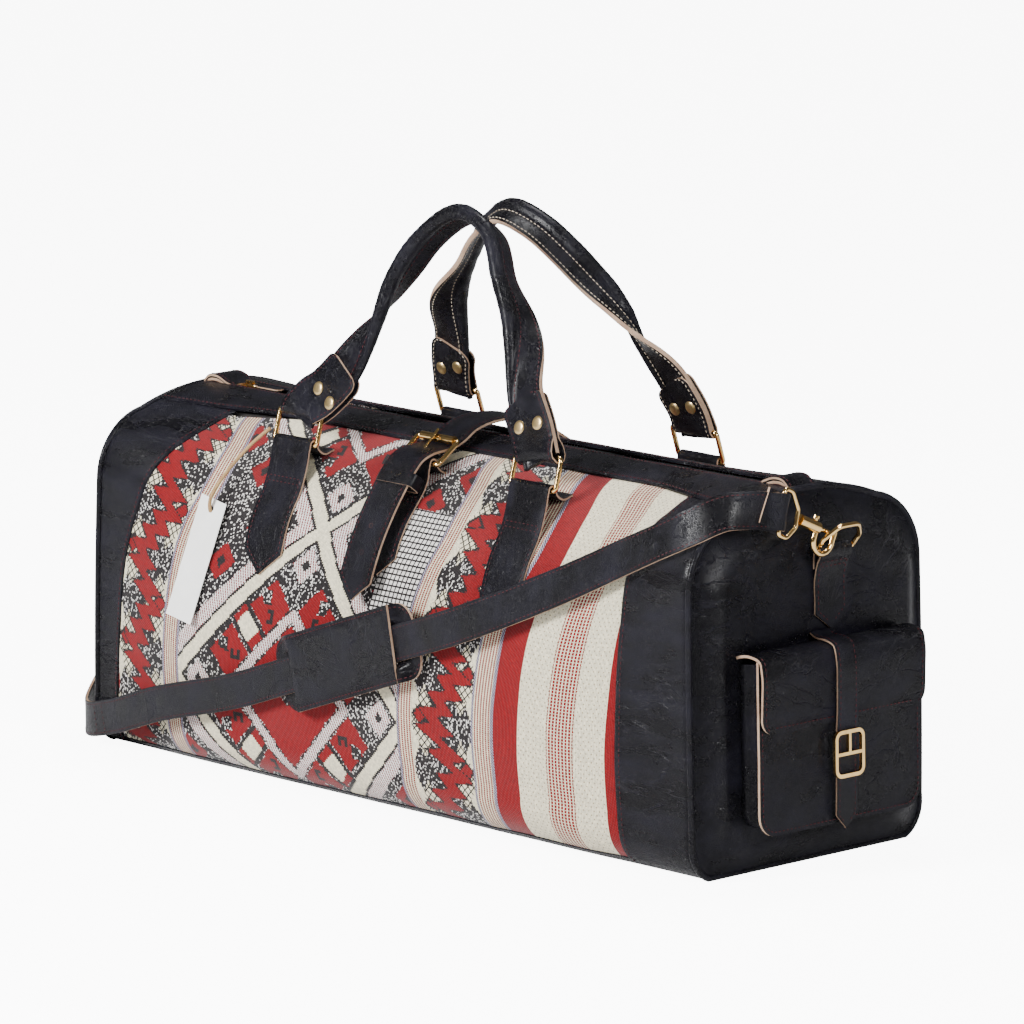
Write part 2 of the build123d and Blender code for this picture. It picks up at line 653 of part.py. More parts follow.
keep(shoulder_strap.part, "shoulder_strap")

# Shoulder pad: main face in front of the strap, an end lug behind it at each slot
PAD_MIDDLE = Vector(-15.0, -150.5, 125.0)
PAD_PLANE = Plane(origin=PAD_MIDDLE, x_dir=(250.0, 0, 88.0), z_dir=(0, -1, 0))
PAD_FACE = PAD_LENGTH / 2 - 22
with BuildPart() as shoulder_pad:
    with BuildSketch(PAD_PLANE.offset(2.2)):
        RectangleRounded(PAD_LENGTH, PAD_HEIGHT, 16)
        for side in (-1, 1):
            with Locations((side * (PAD_FACE + 20), 0)):
                Rectangle(40, SHOULDER_WIDTH + 3, mode=Mode.SUBTRACT)
                Rectangle(36, PAD_HEIGHT, mode=Mode.SUBTRACT)
    extrude(amount=2.6)
    for side in (-1, 1):
        with BuildSketch(PAD_PLANE.offset(-4.8)):
            with Locations((side * (PAD_FACE + 11), 0)):
                RectangleRounded(22, PAD_HEIGHT - 2, 9)
        extrude(amount=2.6)
        with BuildSketch(PAD_PLANE.offset(-4.8)):
            for edge in (-1, 1):
                with Locations((side * (PAD_FACE + 1), edge * (SHOULDER_WIDTH / 2 + 7.4))):
                    Rectangle(8, 11)
        extrude(amount=9.6)
keep(shoulder_pad.part, "shoulder_pad")

# Hang tag on its twine
TAG_TOP = Vector(-203.0, -122.5, 224.0)
TAG_FOOT = Vector(-221.0, -146.5, 126.0)
TAG_WIDTH = 29.0
TWINE = 3.0
tag_length = (TAG_TOP - TAG_FOOT).length
tag_across = Vector(0, -1, -0.24).cross(TAG_TOP - TAG_FOOT)
TAG_PLANE = Plane(origin=(TAG_TOP + TAG_FOOT) * 0.5, x_dir=tag_across,
                  z_dir=tag_across.cross(TAG_TOP - TAG_FOOT))
with BuildPart() as hang_tag:
    with BuildSketch(TAG_PLANE):
        Rectangle(TAG_WIDTH, tag_length)
        with Locations((0, tag_length / 2 - 8)):
            Circle(2.6, mode=Mode.SUBTRACT)
    extrude(amount=0.6)
keep(hang_tag.part, "hang_tag")

TWINE_ROUTE = ((-167.5, -93.0, 283.0), (-177.0, -101.0, 273.0), (-188.0, -111.0, 257.0),
               (-198.0, -121.0, 239.0), (-203.5, -129.0, 222.0), (-204.5, -125.0, 214.0))
twine = [Vector(*point) for point in TWINE_ROUTE]
radii = []
for before, corner, after in zip(twine, twine[1:], twine[2:]):
    turn = (corner - before).get_angle(after - corner)
    shorter = min((corner - before).length, (after - corner).length)
    radii.append(0.45 * shorter / tan(radians(turn / 2)))
print("twine radii", [round(radius, 1) for radius in radii])
with BuildPart() as tag_string:
    with BuildLine() as twine_path:
        FilletPolyline(*twine, radius=radii)
    with BuildSketch(Plane(origin=twine_path.line @ 0, z_dir=twine_path.line % 0)):
        Circle(TWINE / 2)
    sweep(path=twine_path.line)
keep(tag_string.part, "tag_string")
print("twine length", round(sum(edge.length for edge in twine_path.edges()), 1))
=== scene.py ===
"""Leather and kilim travel bag: body, zip, handles, closure, end pockets, shoulder strap and tag.

Lengths are millimetres while a shape is worked out, and become metres as its mesh is made.
The frame is +X along the bag, -Y the front and +Z up, with the origin under its middle.
"""
import logging
import math
from dataclasses import dataclass, field
from enum import Enum
from typing import Callable, Optional, Sequence, Union

import bmesh
import bpy
import numpy as np
from mathutils import Matrix, Vector


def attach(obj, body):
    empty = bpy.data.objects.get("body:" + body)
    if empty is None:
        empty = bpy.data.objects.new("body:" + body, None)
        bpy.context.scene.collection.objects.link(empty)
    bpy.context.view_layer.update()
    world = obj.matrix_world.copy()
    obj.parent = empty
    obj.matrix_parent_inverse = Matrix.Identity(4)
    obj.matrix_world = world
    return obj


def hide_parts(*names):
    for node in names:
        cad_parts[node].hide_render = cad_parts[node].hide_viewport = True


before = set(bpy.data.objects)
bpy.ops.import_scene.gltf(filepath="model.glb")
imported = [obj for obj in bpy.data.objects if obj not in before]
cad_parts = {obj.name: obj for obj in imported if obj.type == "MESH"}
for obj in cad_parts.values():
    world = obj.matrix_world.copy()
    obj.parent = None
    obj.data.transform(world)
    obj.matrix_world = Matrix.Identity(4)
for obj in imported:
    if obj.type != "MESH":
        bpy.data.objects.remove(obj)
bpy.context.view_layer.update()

Array = np.ndarray
Socket = Union["Field", float]
MM = 0.001
log = logging.getLogger("bag")


# ---------------------------------------------------------------- lines and grids


def ease(t: Array) -> Array:
    """Smooth step: 3t^2 - 2t^3 between 0 and 1."""
    t = np.clip(t, 0.0, 1.0)
    return t * t * (3.0 - 2.0 * t)


def unit(v: Array) -> Array:
    """Vectors scaled to length one."""
    return v / np.maximum(np.linalg.norm(v, axis=-1, keepdims=True), 1e-9)


def lengths(points: Array) -> Array:
    """Distance along a line of points, from its first point."""
    steps = np.linalg.norm(np.diff(points, axis=0), axis=1)
    return np.concatenate([[0.0], np.cumsum(steps)])


def at_lengths(points: Array, s: Array) -> Array:
    """Points of a polyline at given distances along it."""
    along = lengths(points)
    return np.stack([np.interp(s, along, points[:, k]) for k in range(points.shape[1])], axis=1)


def smooth_line(points: Sequence[Sequence[float]], count: int) -> Array:
    """Evenly spaced points on a cubic line through all the given points.

    Between two given points the line is the cubic Hermite curve whose end slopes are the mean slope of the
    neighbouring spans, measured over chord length.

    Args:
        points: The points to pass through, in order.
        count: How many points come back.

    Returns:
        An array of count points.
    """
    p = np.asarray(points, float)
    t = lengths(p)
    slope = np.gradient(p, t, axis=0)
    fine = np.linspace(0.0, t[-1], 12 * len(p) + 200)
    k = np.clip(np.searchsorted(t, fine, side="right") - 1, 0, len(p) - 2)
    span = (t[k + 1] - t[k])[:, None]
    h = ((fine - t[k])[:, None]) / span
    line = ((2 * h**3 - 3 * h**2 + 1) * p[k] + (h**3 - 2 * h**2 + h) * span * slope[k]
            + (3 * h**2 - 2 * h**3) * p[k + 1] + (h**3 - h**2) * span * slope[k + 1])
    total = lengths(line)[-1]
    return at_lengths(line, np.linspace(0.0, total, count))


def rounded_line(points: Sequence[Sequence[float]], radius: float, steps: int = 7) -> Array:
    """Straight runs between points, each corner replaced by a quadratic curve that starts radius before it.

    Args:
        points: The corners, in order.
        radius: How far from each corner the curve starts, at most half of each run.
        steps: Points on each corner's curve.

    Returns:
        The line's points.
    """
    p = np.asarray(points, float)
    out = [p[0]]
    for before, corner, after in zip(p, p[1:], p[2:]):
        back, ahead = before - corner, after - corner
        a = corner + unit(back) * min(radius, np.linalg.norm(back) * 0.48)
        b = corner + unit(ahead) * min(radius, np.linalg.norm(ahead) * 0.48)
        t = np.linspace(0.0, 1.0, steps)[:, None]
        out.extend((1 - t) ** 2 * a + 2 * t * (1 - t) * corner + t**2 * b)
    out.append(p[-1])
    return np.array(out)


def grid_faces(rows: int, cols: int, wrap_rows: bool = False, wrap_cols: bool = False) -> Array:
    """Quads of a rows by cols grid of vertices, closed on itself where asked."""
    r = np.arange(rows if wrap_rows else rows - 1)
    c = np.arange(cols if wrap_cols else cols - 1)
    rr, cc = np.meshgrid(r, c, indexing="ij")
    r1, c1 = (rr + 1) % rows, (cc + 1) % cols
    return np.stack([rr * cols + cc, r1 * cols + cc, r1 * cols + c1, rr * cols + c1], axis=-1).reshape(-1, 4)


def ripple(p: Array, size: float, seed: float) -> Array:
    """Gentle waviness from -1 to 1: five sine waves in different directions, the largest of length size.

    Args:
        p: Points, any shape ending in 3, in millimetres.
        size: Length of the longest wave.
        seed: Number that shifts the waves.

    Returns:
        One value for each point.
    """
    total = np.zeros(p.shape[:-1])
    for k in range(5):
        angle = seed * 1.7 + k * 2.4
        tilt = math.sin(seed + k * 1.3)
        direction = np.array([math.cos(angle), math.sin(angle), tilt])
        direction /= np.linalg.norm(direction)
        wave = p @ direction * (2 * math.pi * (1 + 0.55 * k) / size)
        total = total + np.sin(wave + seed * (k + 1)) / (1 + 0.6 * k)
    return total / 2.6


# ---------------------------------------------------------------- meshes


@dataclass
class Shape:
    """Vertices and faces of one piece, before it becomes an object."""

    points: Array
    faces: list
    tone: Array
    uv: Optional[Array] = None


def join(shapes: Sequence[Shape]) -> Shape:
    """Several shapes as one."""
    start = np.cumsum([0] + [len(s.points) for s in shapes])
    faces = [[i + int(k) for i in f] for s, k in zip(shapes, start) for f in s.faces]
    uv = np.concatenate([s.uv for s in shapes]) if all(s.uv is not None for s in shapes) else None
    tone = np.concatenate([s.tone for s in shapes])
    return Shape(np.concatenate([s.points for s in shapes]), faces, tone, uv)


def plate(outer: Array, inner: Array, uv: Optional[Array] = None, edge_tone: int = 1) -> Shape:
    """Closed sheet between two equal grids of points, with a wall round its border.

    Args:
        outer: Grid of the face that shows, (rows, cols, 3).
        inner: The same grid on the hidden face.
        uv: Optional texture coordinates of the grid, (rows, cols, 2).
        edge_tone: Material index of the border wall.

    Returns:
        The sheet's shape.
    """
    rows, cols = outer.shape[:2]
    base = grid_faces(rows, cols)
    index = np.arange(rows * cols).reshape(rows, cols)
    rim = np.concatenate([index[0, :-1], index[:-1, -1], index[-1, :0:-1], index[:0:-1, 0]])
    after = np.roll(rim, -1)
    shift = rows * cols
    wall = np.stack([rim, after, after + shift, rim + shift], axis=-1)
    faces = np.concatenate([base, base[:, ::-1] + shift, wall])
    tone = np.concatenate([np.zeros(2 * len(base), int), np.full(len(wall), edge_tone)])
    both_uv = None if uv is None else np.concatenate([uv.reshape(-1, 2)] * 2)
    return Shape(np.concatenate([outer.reshape(-1, 3), inner.reshape(-1, 3)]), faces.tolist(), tone, both_uv)


def disc(outline: Array, rings: int, lift: Callable[[Array, Array], Array], drop: float,
         place: Callable[[Array, Array, Array], Array], edge_tone: int = 1) -> Shape:
    """Closed plate inside an outline: rings shrunk towards its middle, raised by lift.

    Args:
        outline: Corner points in the plate's plane, (n, 2).
        rings: Rings from the outline to the middle.
        lift: Height of the upper face, from a ring's share r (1 at the outline) and its points (.., 2).
        drop: Thickness.
        place: Turns x, y and height into points in space.
        edge_tone: Material index of the wall.

    Returns:
        The plate's shape.
    """
    r = np.linspace(1.0, 0.0, rings + 1)[:-1]
    middle = outline.mean(axis=0)
    xy = middle + r[:, None, None] * (outline - middle)[None]
    share = np.broadcast_to(r[:, None], xy.shape[:2])
    high = lift(share, xy)
    centre_high = lift(np.zeros((1, 1)), middle[None, None])
    upper, lower = place(xy[..., 0], xy[..., 1], high), place(xy[..., 0], xy[..., 1], high - drop)
    top = place(middle[None, None, 0], middle[None, None, 1], centre_high).reshape(1, 3)
    bottom = place(middle[None, None, 0], middle[None, None, 1], centre_high - drop).reshape(1, 3)
    n = len(outline)
    base = grid_faces(rings, n, wrap_cols=True)
    shift = rings * n
    rim = np.arange(n)
    after = np.roll(rim, -1)
    wall = np.stack([rim, after, after + shift, rim + shift], axis=-1)
    last = (rings - 1) * n
    cap = [[int(last + a), int(last + b), 2 * shift] for a, b in zip(rim, after)]
    cap += [[int(shift + last + b), int(shift + last + a), 2 * shift + 1] for a, b in zip(rim, after)]
    faces = base.tolist() + (base[:, ::-1] + shift).tolist() + wall.tolist() + cap
    tone = np.concatenate([np.zeros(2 * len(base), int), np.full(n, edge_tone), np.zeros(2 * n, int)])
    return Shape(np.concatenate([upper.reshape(-1, 3), lower.reshape(-1, 3), top, bottom]), faces, tone)


@dataclass
class Track:
    """A line through space, with the direction its face looks in at each point."""

    points: Array
    face: Array

    def __post_init__(self) -> None:
        """Work out the distance along the line and a square frame at each point."""
        self.s = lengths(self.points)
        self.along = unit(np.gradient(self.points, axis=0))
        self.across = unit(np.cross(self.face, self.along))
        self.face = unit(np.cross(self.along, self.across))

    @property
    def length(self) -> float:
        """Length of the line."""
        return float(self.s[-1])

    @classmethod
    def through(cls, points: Sequence[Sequence[float]], face: Sequence[Sequence[float]], count: int) -> "Track":
        """Track on a smooth line through points, with the face directions carried along it."""
        p = np.asarray(points, float)
        line = smooth_line(p, count)
        where = lengths(p) / lengths(p)[-1] * lengths(line)[-1]
        hints = np.asarray(face, float)
        turned = np.stack([np.interp(lengths(line), where, hints[:, k]) for k in range(3)], axis=1)
        return cls(line, turned)

    def beside(self, across: Union[float, Array], out: Union[float, Array]) -> Array:
        """Line moved sideways and outwards from this one."""
        shift = np.broadcast_to(across, self.s.shape)[:, None] * self.across
        return self.points + shift + np.broadcast_to(out, self.s.shape)[:, None] * self.face


STRAP_SECTION = np.array([(-1, .5, 1), (-.97, 0, 1.04), (-.6, 0, 1), (-.2, 0, 1), (.2, 0, 1), (.6, 0, 1),
                          (.97, 0, 1.04), (1, -.5, 1), (1, 0, .6), (1, 0, -.6), (1, -.5, -1), (.4, 0, -1),
                          (-.4, 0, -1), (-1, .5, -1), (-1, 0, -.6), (-1, 0, .6)])
STRAP_EDGES = (8, 14)


def ribbon(track: Track, half_width: Union[float, Array], thick: float, wave: float = 0.0, seed: float = 1.0,
           shift: Union[float, Array] = 0.0) -> Shape:
    """Leather strip along a track: a flat section with softened corners, closed at both ends.

    Each section point lies at half_width times its share plus a small inset across the strip, and at half
    the thickness times its share out from the track.

    Args:
        track: The strip's middle line and facing.
        half_width: Half of its width, one value or one for each station.
        thick: Thickness.
        wave: Height of a gentle waviness of its face.
        seed: Number that shifts the waviness.
        shift: Sideways move of the strip, one value or one for each station.

    Returns:
        The strip's shape, whose cut edges have material index 1.
    """
    w = np.broadcast_to(half_width, track.s.shape)
    sideways = w[:, None] * STRAP_SECTION[None, :, 0] + np.minimum(w, 1.0)[:, None] * STRAP_SECTION[None, :, 1]
    sideways = sideways + np.broadcast_to(shift, track.s.shape)[:, None]
    out = np.broadcast_to(thick / 2 * STRAP_SECTION[:, 2], sideways.shape)
    points = (track.points[:, None] + sideways[..., None] * track.across[:, None]
              + out[..., None] * track.face[:, None])
    if wave:
        points = points + (wave * ripple(points, 60.0, seed))[..., None] * track.face[:, None]
    n, m = points.shape[:2]
    faces = grid_faces(n, m, wrap_cols=True)
    tone = np.tile(np.isin(np.arange(m), STRAP_EDGES).astype(int), n - 1)
    caps = [list(range(m))[::-1], list(range((n - 1) * m, n * m))]
    return Shape(points.reshape(-1, 3), faces.tolist() + caps, np.concatenate([tone, [1, 1]]))


def tube(track: Track, radius: Union[float, Array], sides: int = 12, closed: bool = False) -> Shape:
    """Round bar along a track, closed on itself or capped."""
    angle = np.linspace(0, 2 * np.pi, sides, endpoint=False)
    r = np.broadcast_to(radius, track.s.shape)[:, None]
    points = (track.points[:, None] + (r * np.cos(angle))[..., None] * track.across[:, None]
              + (r * np.sin(angle))[..., None] * track.face[:, None])
    n = len(points)
    faces = grid_faces(n, sides, wrap_rows=closed, wrap_cols=True).tolist()
    if not closed:
        faces += [list(range(sides))[::-1], list(range((n - 1) * sides, n * sides))]
    return Shape(points.reshape(-1, 3), faces, np.zeros(len(faces), int))


def pointed(s: Array, length: float, half: float, point: float) -> Array:
    """Half-width of a strip that narrows to a tip over its last stretch."""
    return np.where(s > length - point, np.maximum(half * (length - s) / point, 0.6), half)


def rounded_end(s: Array, length: float, half: float, radius: float) -> Array:
    """Half-width of a strip whose last corners are rounded to a radius."""
    over = np.clip(s - (length - radius), 0, radius)
    return half - (radius - np.sqrt(np.maximum(radius**2 - over**2, 0)))


def make_object(name: str, shape: Shape, materials: Sequence[bpy.types.Material], body: str = "root",
                replaces: Sequence[str] = (), smooth: bool = True,
                crease: float = 38.0) -> bpy.types.Object:
    """Turn a shape into a finished object that rides on a body.

    Args:
        name: The object's name.
        shape: Its vertices in millimetres and faces.
        materials: Materials by tone index.
        body: The body it moves with.
        replaces: Nodes that it stands for.
        smooth: Whether faces are shaded smooth.
        crease: Angle in degrees past which an edge stays sharp.

    Returns:
        The object.
    """
    mesh = bpy.data.meshes.new(name)
    mesh.from_pydata((shape.points * MM).tolist(), [], shape.faces)
    for material in materials:
        mesh.materials.append(material)
    mesh.polygons.foreach_set("material_index", np.minimum(shape.tone, len(materials) - 1).astype(np.int32))
    if shape.uv is not None:
        layer = mesh.uv_layers.new(name="weave")
        corner = np.empty(len(mesh.loops), np.int32)
        mesh.loops.foreach_get("vertex_index", corner)
        layer.data.foreach_set("uv", (shape.uv[corner] * MM).astype(np.float32).ravel())
    work = bmesh.new()
    work.from_mesh(mesh)
    bmesh.ops.recalc_face_normals(work, faces=work.faces)
    for edge in work.edges:
        if len(edge.link_faces) == 2 and edge.calc_face_angle(0.0) > math.radians(crease):
            edge.smooth = False
    work.to_mesh(mesh)
    work.free()
    mesh.polygons.foreach_set("use_smooth", [smooth] * len(mesh.polygons))
    mesh.update()
    obj = bpy.data.objects.new(name, mesh)
    bpy.context.scene.collection.objects.link(obj)
    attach(obj, body)
    if replaces:
        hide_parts(*replaces)
    log.info("%s: %d faces on %s", name, len(mesh.polygons), body)
    return obj


@dataclass
class Sewing:
    """Rows of stitches gathered for one piece, each stitch a short rounded thread."""

    pitch: float = 4.2
    length: float = 2.9
    width: float = 0.42
    rows: list = field(default_factory=list)

    def row(self, line: Array, face: Array) -> None:
        """Add a row of stitches along a line that lies on a surface.

        Each stitch is a spindle: rings of radius width * sqrt(1 - t^2), for t from -1 to 1 along it.

        Args:
            line: The row's points.
            face: Outward direction of the surface at each of them.
        """
        total = lengths(line)[-1]
        count = int(total / self.pitch)
        if count < 1:
            return
        s = (np.arange(count) + 0.5) * total / count
        middle = at_lengths(line, s)
        ahead = unit(at_lengths(line, np.minimum(s + 0.8, total)) - at_lengths(line, np.maximum(s - 0.8, 0)))
        where = lengths(line)
        out = unit(np.stack([np.interp(s, where, face[:, k]) for k in range(3)], axis=1))
        side = unit(np.cross(out, ahead))
        t = np.array([-1.0, -0.7, 0.0, 0.7, 1.0])
        r = np.array([0.25, 0.8, 1.0, 0.8, 0.25]) * self.width
        angle = np.linspace(0, 2 * np.pi, 5, endpoint=False)
        local_along = t[:, None] * self.length / 2 + 0 * angle
        local_side = r[:, None] * np.cos(angle)
        local_out = r[:, None] * np.sin(angle) - 0.12 * t[:, None] ** 2 * self.length
        points = (middle[:, None, None] + local_along[None, ..., None] * ahead[:, None, None]
                  + local_side[None, ..., None] * side[:, None, None]
                  + local_out[None, ..., None] * out[:, None, None])
        base = grid_faces(5, 5, wrap_cols=True)
        faces = (base[None] + 25 * np.arange(count)[:, None, None]).reshape(-1, 4)
        caps = np.array([[4, 3, 2, 1, 0], [20, 21, 22, 23, 24]])
        lids = (caps[None] + 25 * np.arange(count)[:, None, None]).reshape(-1, 5)
        everything = faces.tolist() + lids.tolist()
        self.rows.append(Shape(points.reshape(-1, 3), everything, np.zeros(len(everything), int)))

    def beside(self, track: Track, across: Union[float, Array], out: float) -> None:
        """Add a row beside a track, at the given height over it."""
        self.row(track.beside(across, out), track.face)

    def beside_part(self, track: Track, across: Union[float, Array], out: float, start: int,
                    stop: int) -> None:
        """Add a row beside part of a track, between two stations."""
        line = track.beside(across, out)[start:stop]
        self.row(line, track.face[start:stop])

    def crossing(self, track: Track, k: int, half: float, out: float, count: int = 16) -> None:
        """Add a row across a track at its station k."""
        across = np.linspace(-1, 1, count)[:, None] * half * track.across[k]
        self.row(track.points[k] + track.face[k] * out + across, np.tile(track.face[k], (count, 1)))

    def both_sides(self, track: Track, half: Union[float, Array], inset: float, out: float) -> None:
        """Add a row inside each edge of a strip."""
        for hand in (-1, 1):
            self.beside(track, hand * np.maximum(np.broadcast_to(half, track.s.shape) - inset, 0.0), out)

    def finish(self, name: str, material: bpy.types.Material, body: str) -> bpy.types.Object:
        """Make all rows one object."""
        return make_object(name, join(self.rows), [material], body, crease=80.0)


# ---------------------------------------------------------------- values in node trees


@dataclass
class Field:
    """A value that changes over the surface, as a socket in a node tree."""

    tree: bpy.types.NodeTree
    socket: bpy.types.NodeSocket

    def node(self, operation: str, *values: Socket) -> "Field":
        """Result of a Math node on the given values."""
        node = self.tree.nodes.new("ShaderNodeMath")
        node.operation = operation
        for slot, value in enumerate(values):
            if isinstance(value, Field):
                self.tree.links.new(value.socket, node.inputs[slot])
            else:
                node.inputs[slot].default_value = float(value)
        return Field(self.tree, node.outputs[0])

    def __add__(self, other: Socket) -> "Field":
        """Sum."""
        return self.node("ADD", self, other)

    def __sub__(self, other: Socket) -> "Field":
        """Difference."""
        return self.node("SUBTRACT", self, other)

    def __mul__(self, other: Socket) -> "Field":
        """Product, which also joins two masks with and."""
        return self.node("MULTIPLY", self, other)

    def below(self, other: Socket) -> "Field":
        """1 where this is less than the other, else 0."""
        return self.node("LESS_THAN", self, other)

    def above(self, other: Socket) -> "Field":
        """1 where this is more than the other, else 0."""
        return self.node("GREATER_THAN", self, other)

    def size(self) -> "Field":
        """Distance from zero."""
        return self.node("ABSOLUTE", self)

    def either(self, other: Socket) -> "Field":
        """The larger of two, which joins two masks with or."""
        return self.node("MAXIMUM", self, other)

    def smaller(self, other: Socket) -> "Field":
        """The smaller of two."""
        return self.node("MINIMUM", self, other)

    def swing(self, width: float) -> "Field":
        """Zigzag between 0 and width, of period twice the width."""
        return self.node("PINGPONG", self, width)

    def repeat(self, period: float) -> "Field":
        """Distance from the nearest multiple of period, with its sign."""
        return self.node("WRAP", self, period / 2, -period / 2)

    def between(self, low: Socket, high: Socket) -> "Field":
        """1 where this lies between two values, else 0."""
        return self.above(low) * self.below(high)

    def stepped(self, step: float) -> "Field":
        """The middle of the step that this value falls in."""
        return self.node("SNAP", self, step) + step / 2


Colour = tuple[float, float, float, float]


def rgb(red: float, green: float, blue: float) -> Colour:
    """Opaque colour."""
    return (red, green, blue, 1.0)


def mix(tree: bpy.types.NodeTree, mask: Union[Field, float], under: Union[Colour, bpy.types.NodeSocket],
        over: Union[Colour, bpy.types.NodeSocket], how: str = "MIX") -> bpy.types.NodeSocket:
    """Colour that goes from under to over as mask goes from 0 to 1."""
    node = tree.nodes.new("ShaderNodeMix")
    node.data_type = "RGBA"
    node.blend_type = how
    if isinstance(mask, Field):
        tree.links.new(mask.socket, node.inputs["Factor"])
    else:
        node.inputs["Factor"].default_value = mask
    for name, value in (("A", under), ("B", over)):
        target = [s for s in node.inputs if s.name == name and s.type == "RGBA"][0]
        if isinstance(value, tuple):
            target.default_value = value
        else:
            tree.links.new(value, target)
    return [s for s in node.outputs if s.type == "RGBA"][0]


def noise(tree: bpy.types.NodeTree, vector: bpy.types.NodeSocket, scale: float, detail: float = 3.0,
          rough: float = 0.55, stretch: Sequence[float] = (1, 1, 1)) -> Field:
    """Noise texture on a vector, from about 0 to 1."""
    mapping = tree.nodes.new("ShaderNodeMapping")
    mapping.inputs["Scale"].default_value = stretch
    tree.links.new(vector, mapping.inputs["Vector"])
    node = tree.nodes.new("ShaderNodeTexNoise")
    node.inputs["Scale"].default_value = scale
    node.inputs["Detail"].default_value = detail
    node.inputs["Roughness"].default_value = rough
    tree.links.new(mapping.outputs[0], node.inputs["Vector"])
    return Field(tree, node.outputs["Fac"])


def ramp(tree: bpy.types.NodeTree, value: Field, low: float, high: float, to_low: float = 0.0,
         to_high: float = 1.0) -> Field:
    """Value carried from one range to another and held inside it."""
    node = tree.nodes.new("ShaderNodeMapRange")
    tree.links.new(value.socket, node.inputs["Value"])
    for name, number in (("From Min", low), ("From Max", high), ("To Min", to_low), ("To Max", to_high)):
        node.inputs[name].default_value = number
    return Field(tree, node.outputs["Result"])


def new_group(name: str, inputs: Sequence[tuple[str, str, float]],
              outputs: Sequence[tuple[str, str]]) -> bpy.types.NodeTree:
    """Shader node group with named sockets."""
    tree = bpy.data.node_groups.new(name, "ShaderNodeTree")
    for label, kind, value in inputs:
        socket = tree.interface.new_socket(label, in_out="INPUT", socket_type=kind)
        if kind == "NodeSocketFloat":
            socket.default_value = value
    for label, kind in outputs:
        tree.interface.new_socket(label, in_out="OUTPUT", socket_type=kind)
    tree.nodes.new("NodeGroupInput")
    tree.nodes.new("NodeGroupOutput")
    return tree


def grain_group() -> bpy.types.NodeTree:
    """Leather grain: pores, fine creases and cloudy wear, as a shade, a roughness and a height.

    Pores are distances between cells; creases are where a stretched noise crosses its middle value; wear is a
    wide soft noise.
    """
    found = bpy.data.node_groups.get("leather_grain")
    if found:
        return found
    tree = new_group("leather_grain", [("Vector", "NodeSocketVector", 0.0), ("Pore", "NodeSocketFloat", 900.0),
                                       ("Crease", "NodeSocketFloat", 40.0)],
                     [("Wear", "NodeSocketFloat"), ("Rough", "NodeSocketFloat"), ("Height", "NodeSocketFloat"),
                      ("Line", "NodeSocketFloat")])
    inp, out = tree.nodes["Group Input"], tree.nodes["Group Output"]
    pore = tree.nodes.new("ShaderNodeTexVoronoi")
    pore.feature = "DISTANCE_TO_EDGE"
    tree.links.new(inp.outputs["Vector"], pore.inputs["Vector"])
    tree.links.new(inp.outputs["Pore"], pore.inputs["Scale"])
    pores = ramp(tree, Field(tree, pore.outputs["Distance"]), 0.0, 0.12)
    wear = noise(tree, inp.outputs["Vector"], 26.0, 5.0, 0.6)
    folds = tree.nodes.new("ShaderNodeTexNoise")
    folds.inputs["Detail"].default_value = 5.0
    folds.inputs["Distortion"].default_value = 0.8
    tree.links.new(inp.outputs["Vector"], folds.inputs["Vector"])
    tree.links.new(inp.outputs["Crease"], folds.inputs["Scale"])
    line = ramp(tree, (Field(tree, folds.outputs["Fac"]) - 0.5).size(), 0.0, 0.022, 1.0, 0.0)
    patch = ramp(tree, noise(tree, inp.outputs["Vector"], 11.0, 2.0), 0.45, 0.62)
    line = line * patch
    rough = ramp(tree, wear, 0.3, 0.7, -0.1, 0.12) + line * 0.08
    height = pores * 0.25 + wear * 0.5 - line * 0.6
    for label, value in (("Wear", ramp(tree, wear, 0.42, 0.72)), ("Rough", rough), ("Height", height),
                         ("Line", line)):
        tree.links.new(value.socket, out.inputs[label])
    return tree


def principled(name: str, **values: Union[float, Colour]) -> tuple[bpy.types.Material, bpy.types.Node]:
    """Material with its Principled BSDF's sockets set to plain values."""
    material = bpy.data.materials.new(name)
    material.use_nodes = True
    shader = material.node_tree.nodes["Principled BSDF"]
    for label, value in values.items():
        shader.inputs[label.replace("_", " ")].default_value = value
    return material, shader


def object_vector(tree: bpy.types.NodeTree) -> bpy.types.NodeSocket:
    """Object coordinates."""
    return tree.nodes.new("ShaderNodeTexCoord").outputs["Object"]


def bump(tree: bpy.types.NodeTree, shader: bpy.types.Node, height: Field, strength: float,
         distance: float) -> None:
    """Feed a height to the shader's normal."""
    node = tree.nodes.new("ShaderNodeBump")
    node.inputs["Strength"].default_value = strength
    node.inputs["Distance"].default_value = distance
    tree.links.new(height.socket, node.inputs["Height"])
    tree.links.new(node.outputs[0], shader.inputs["Normal"])


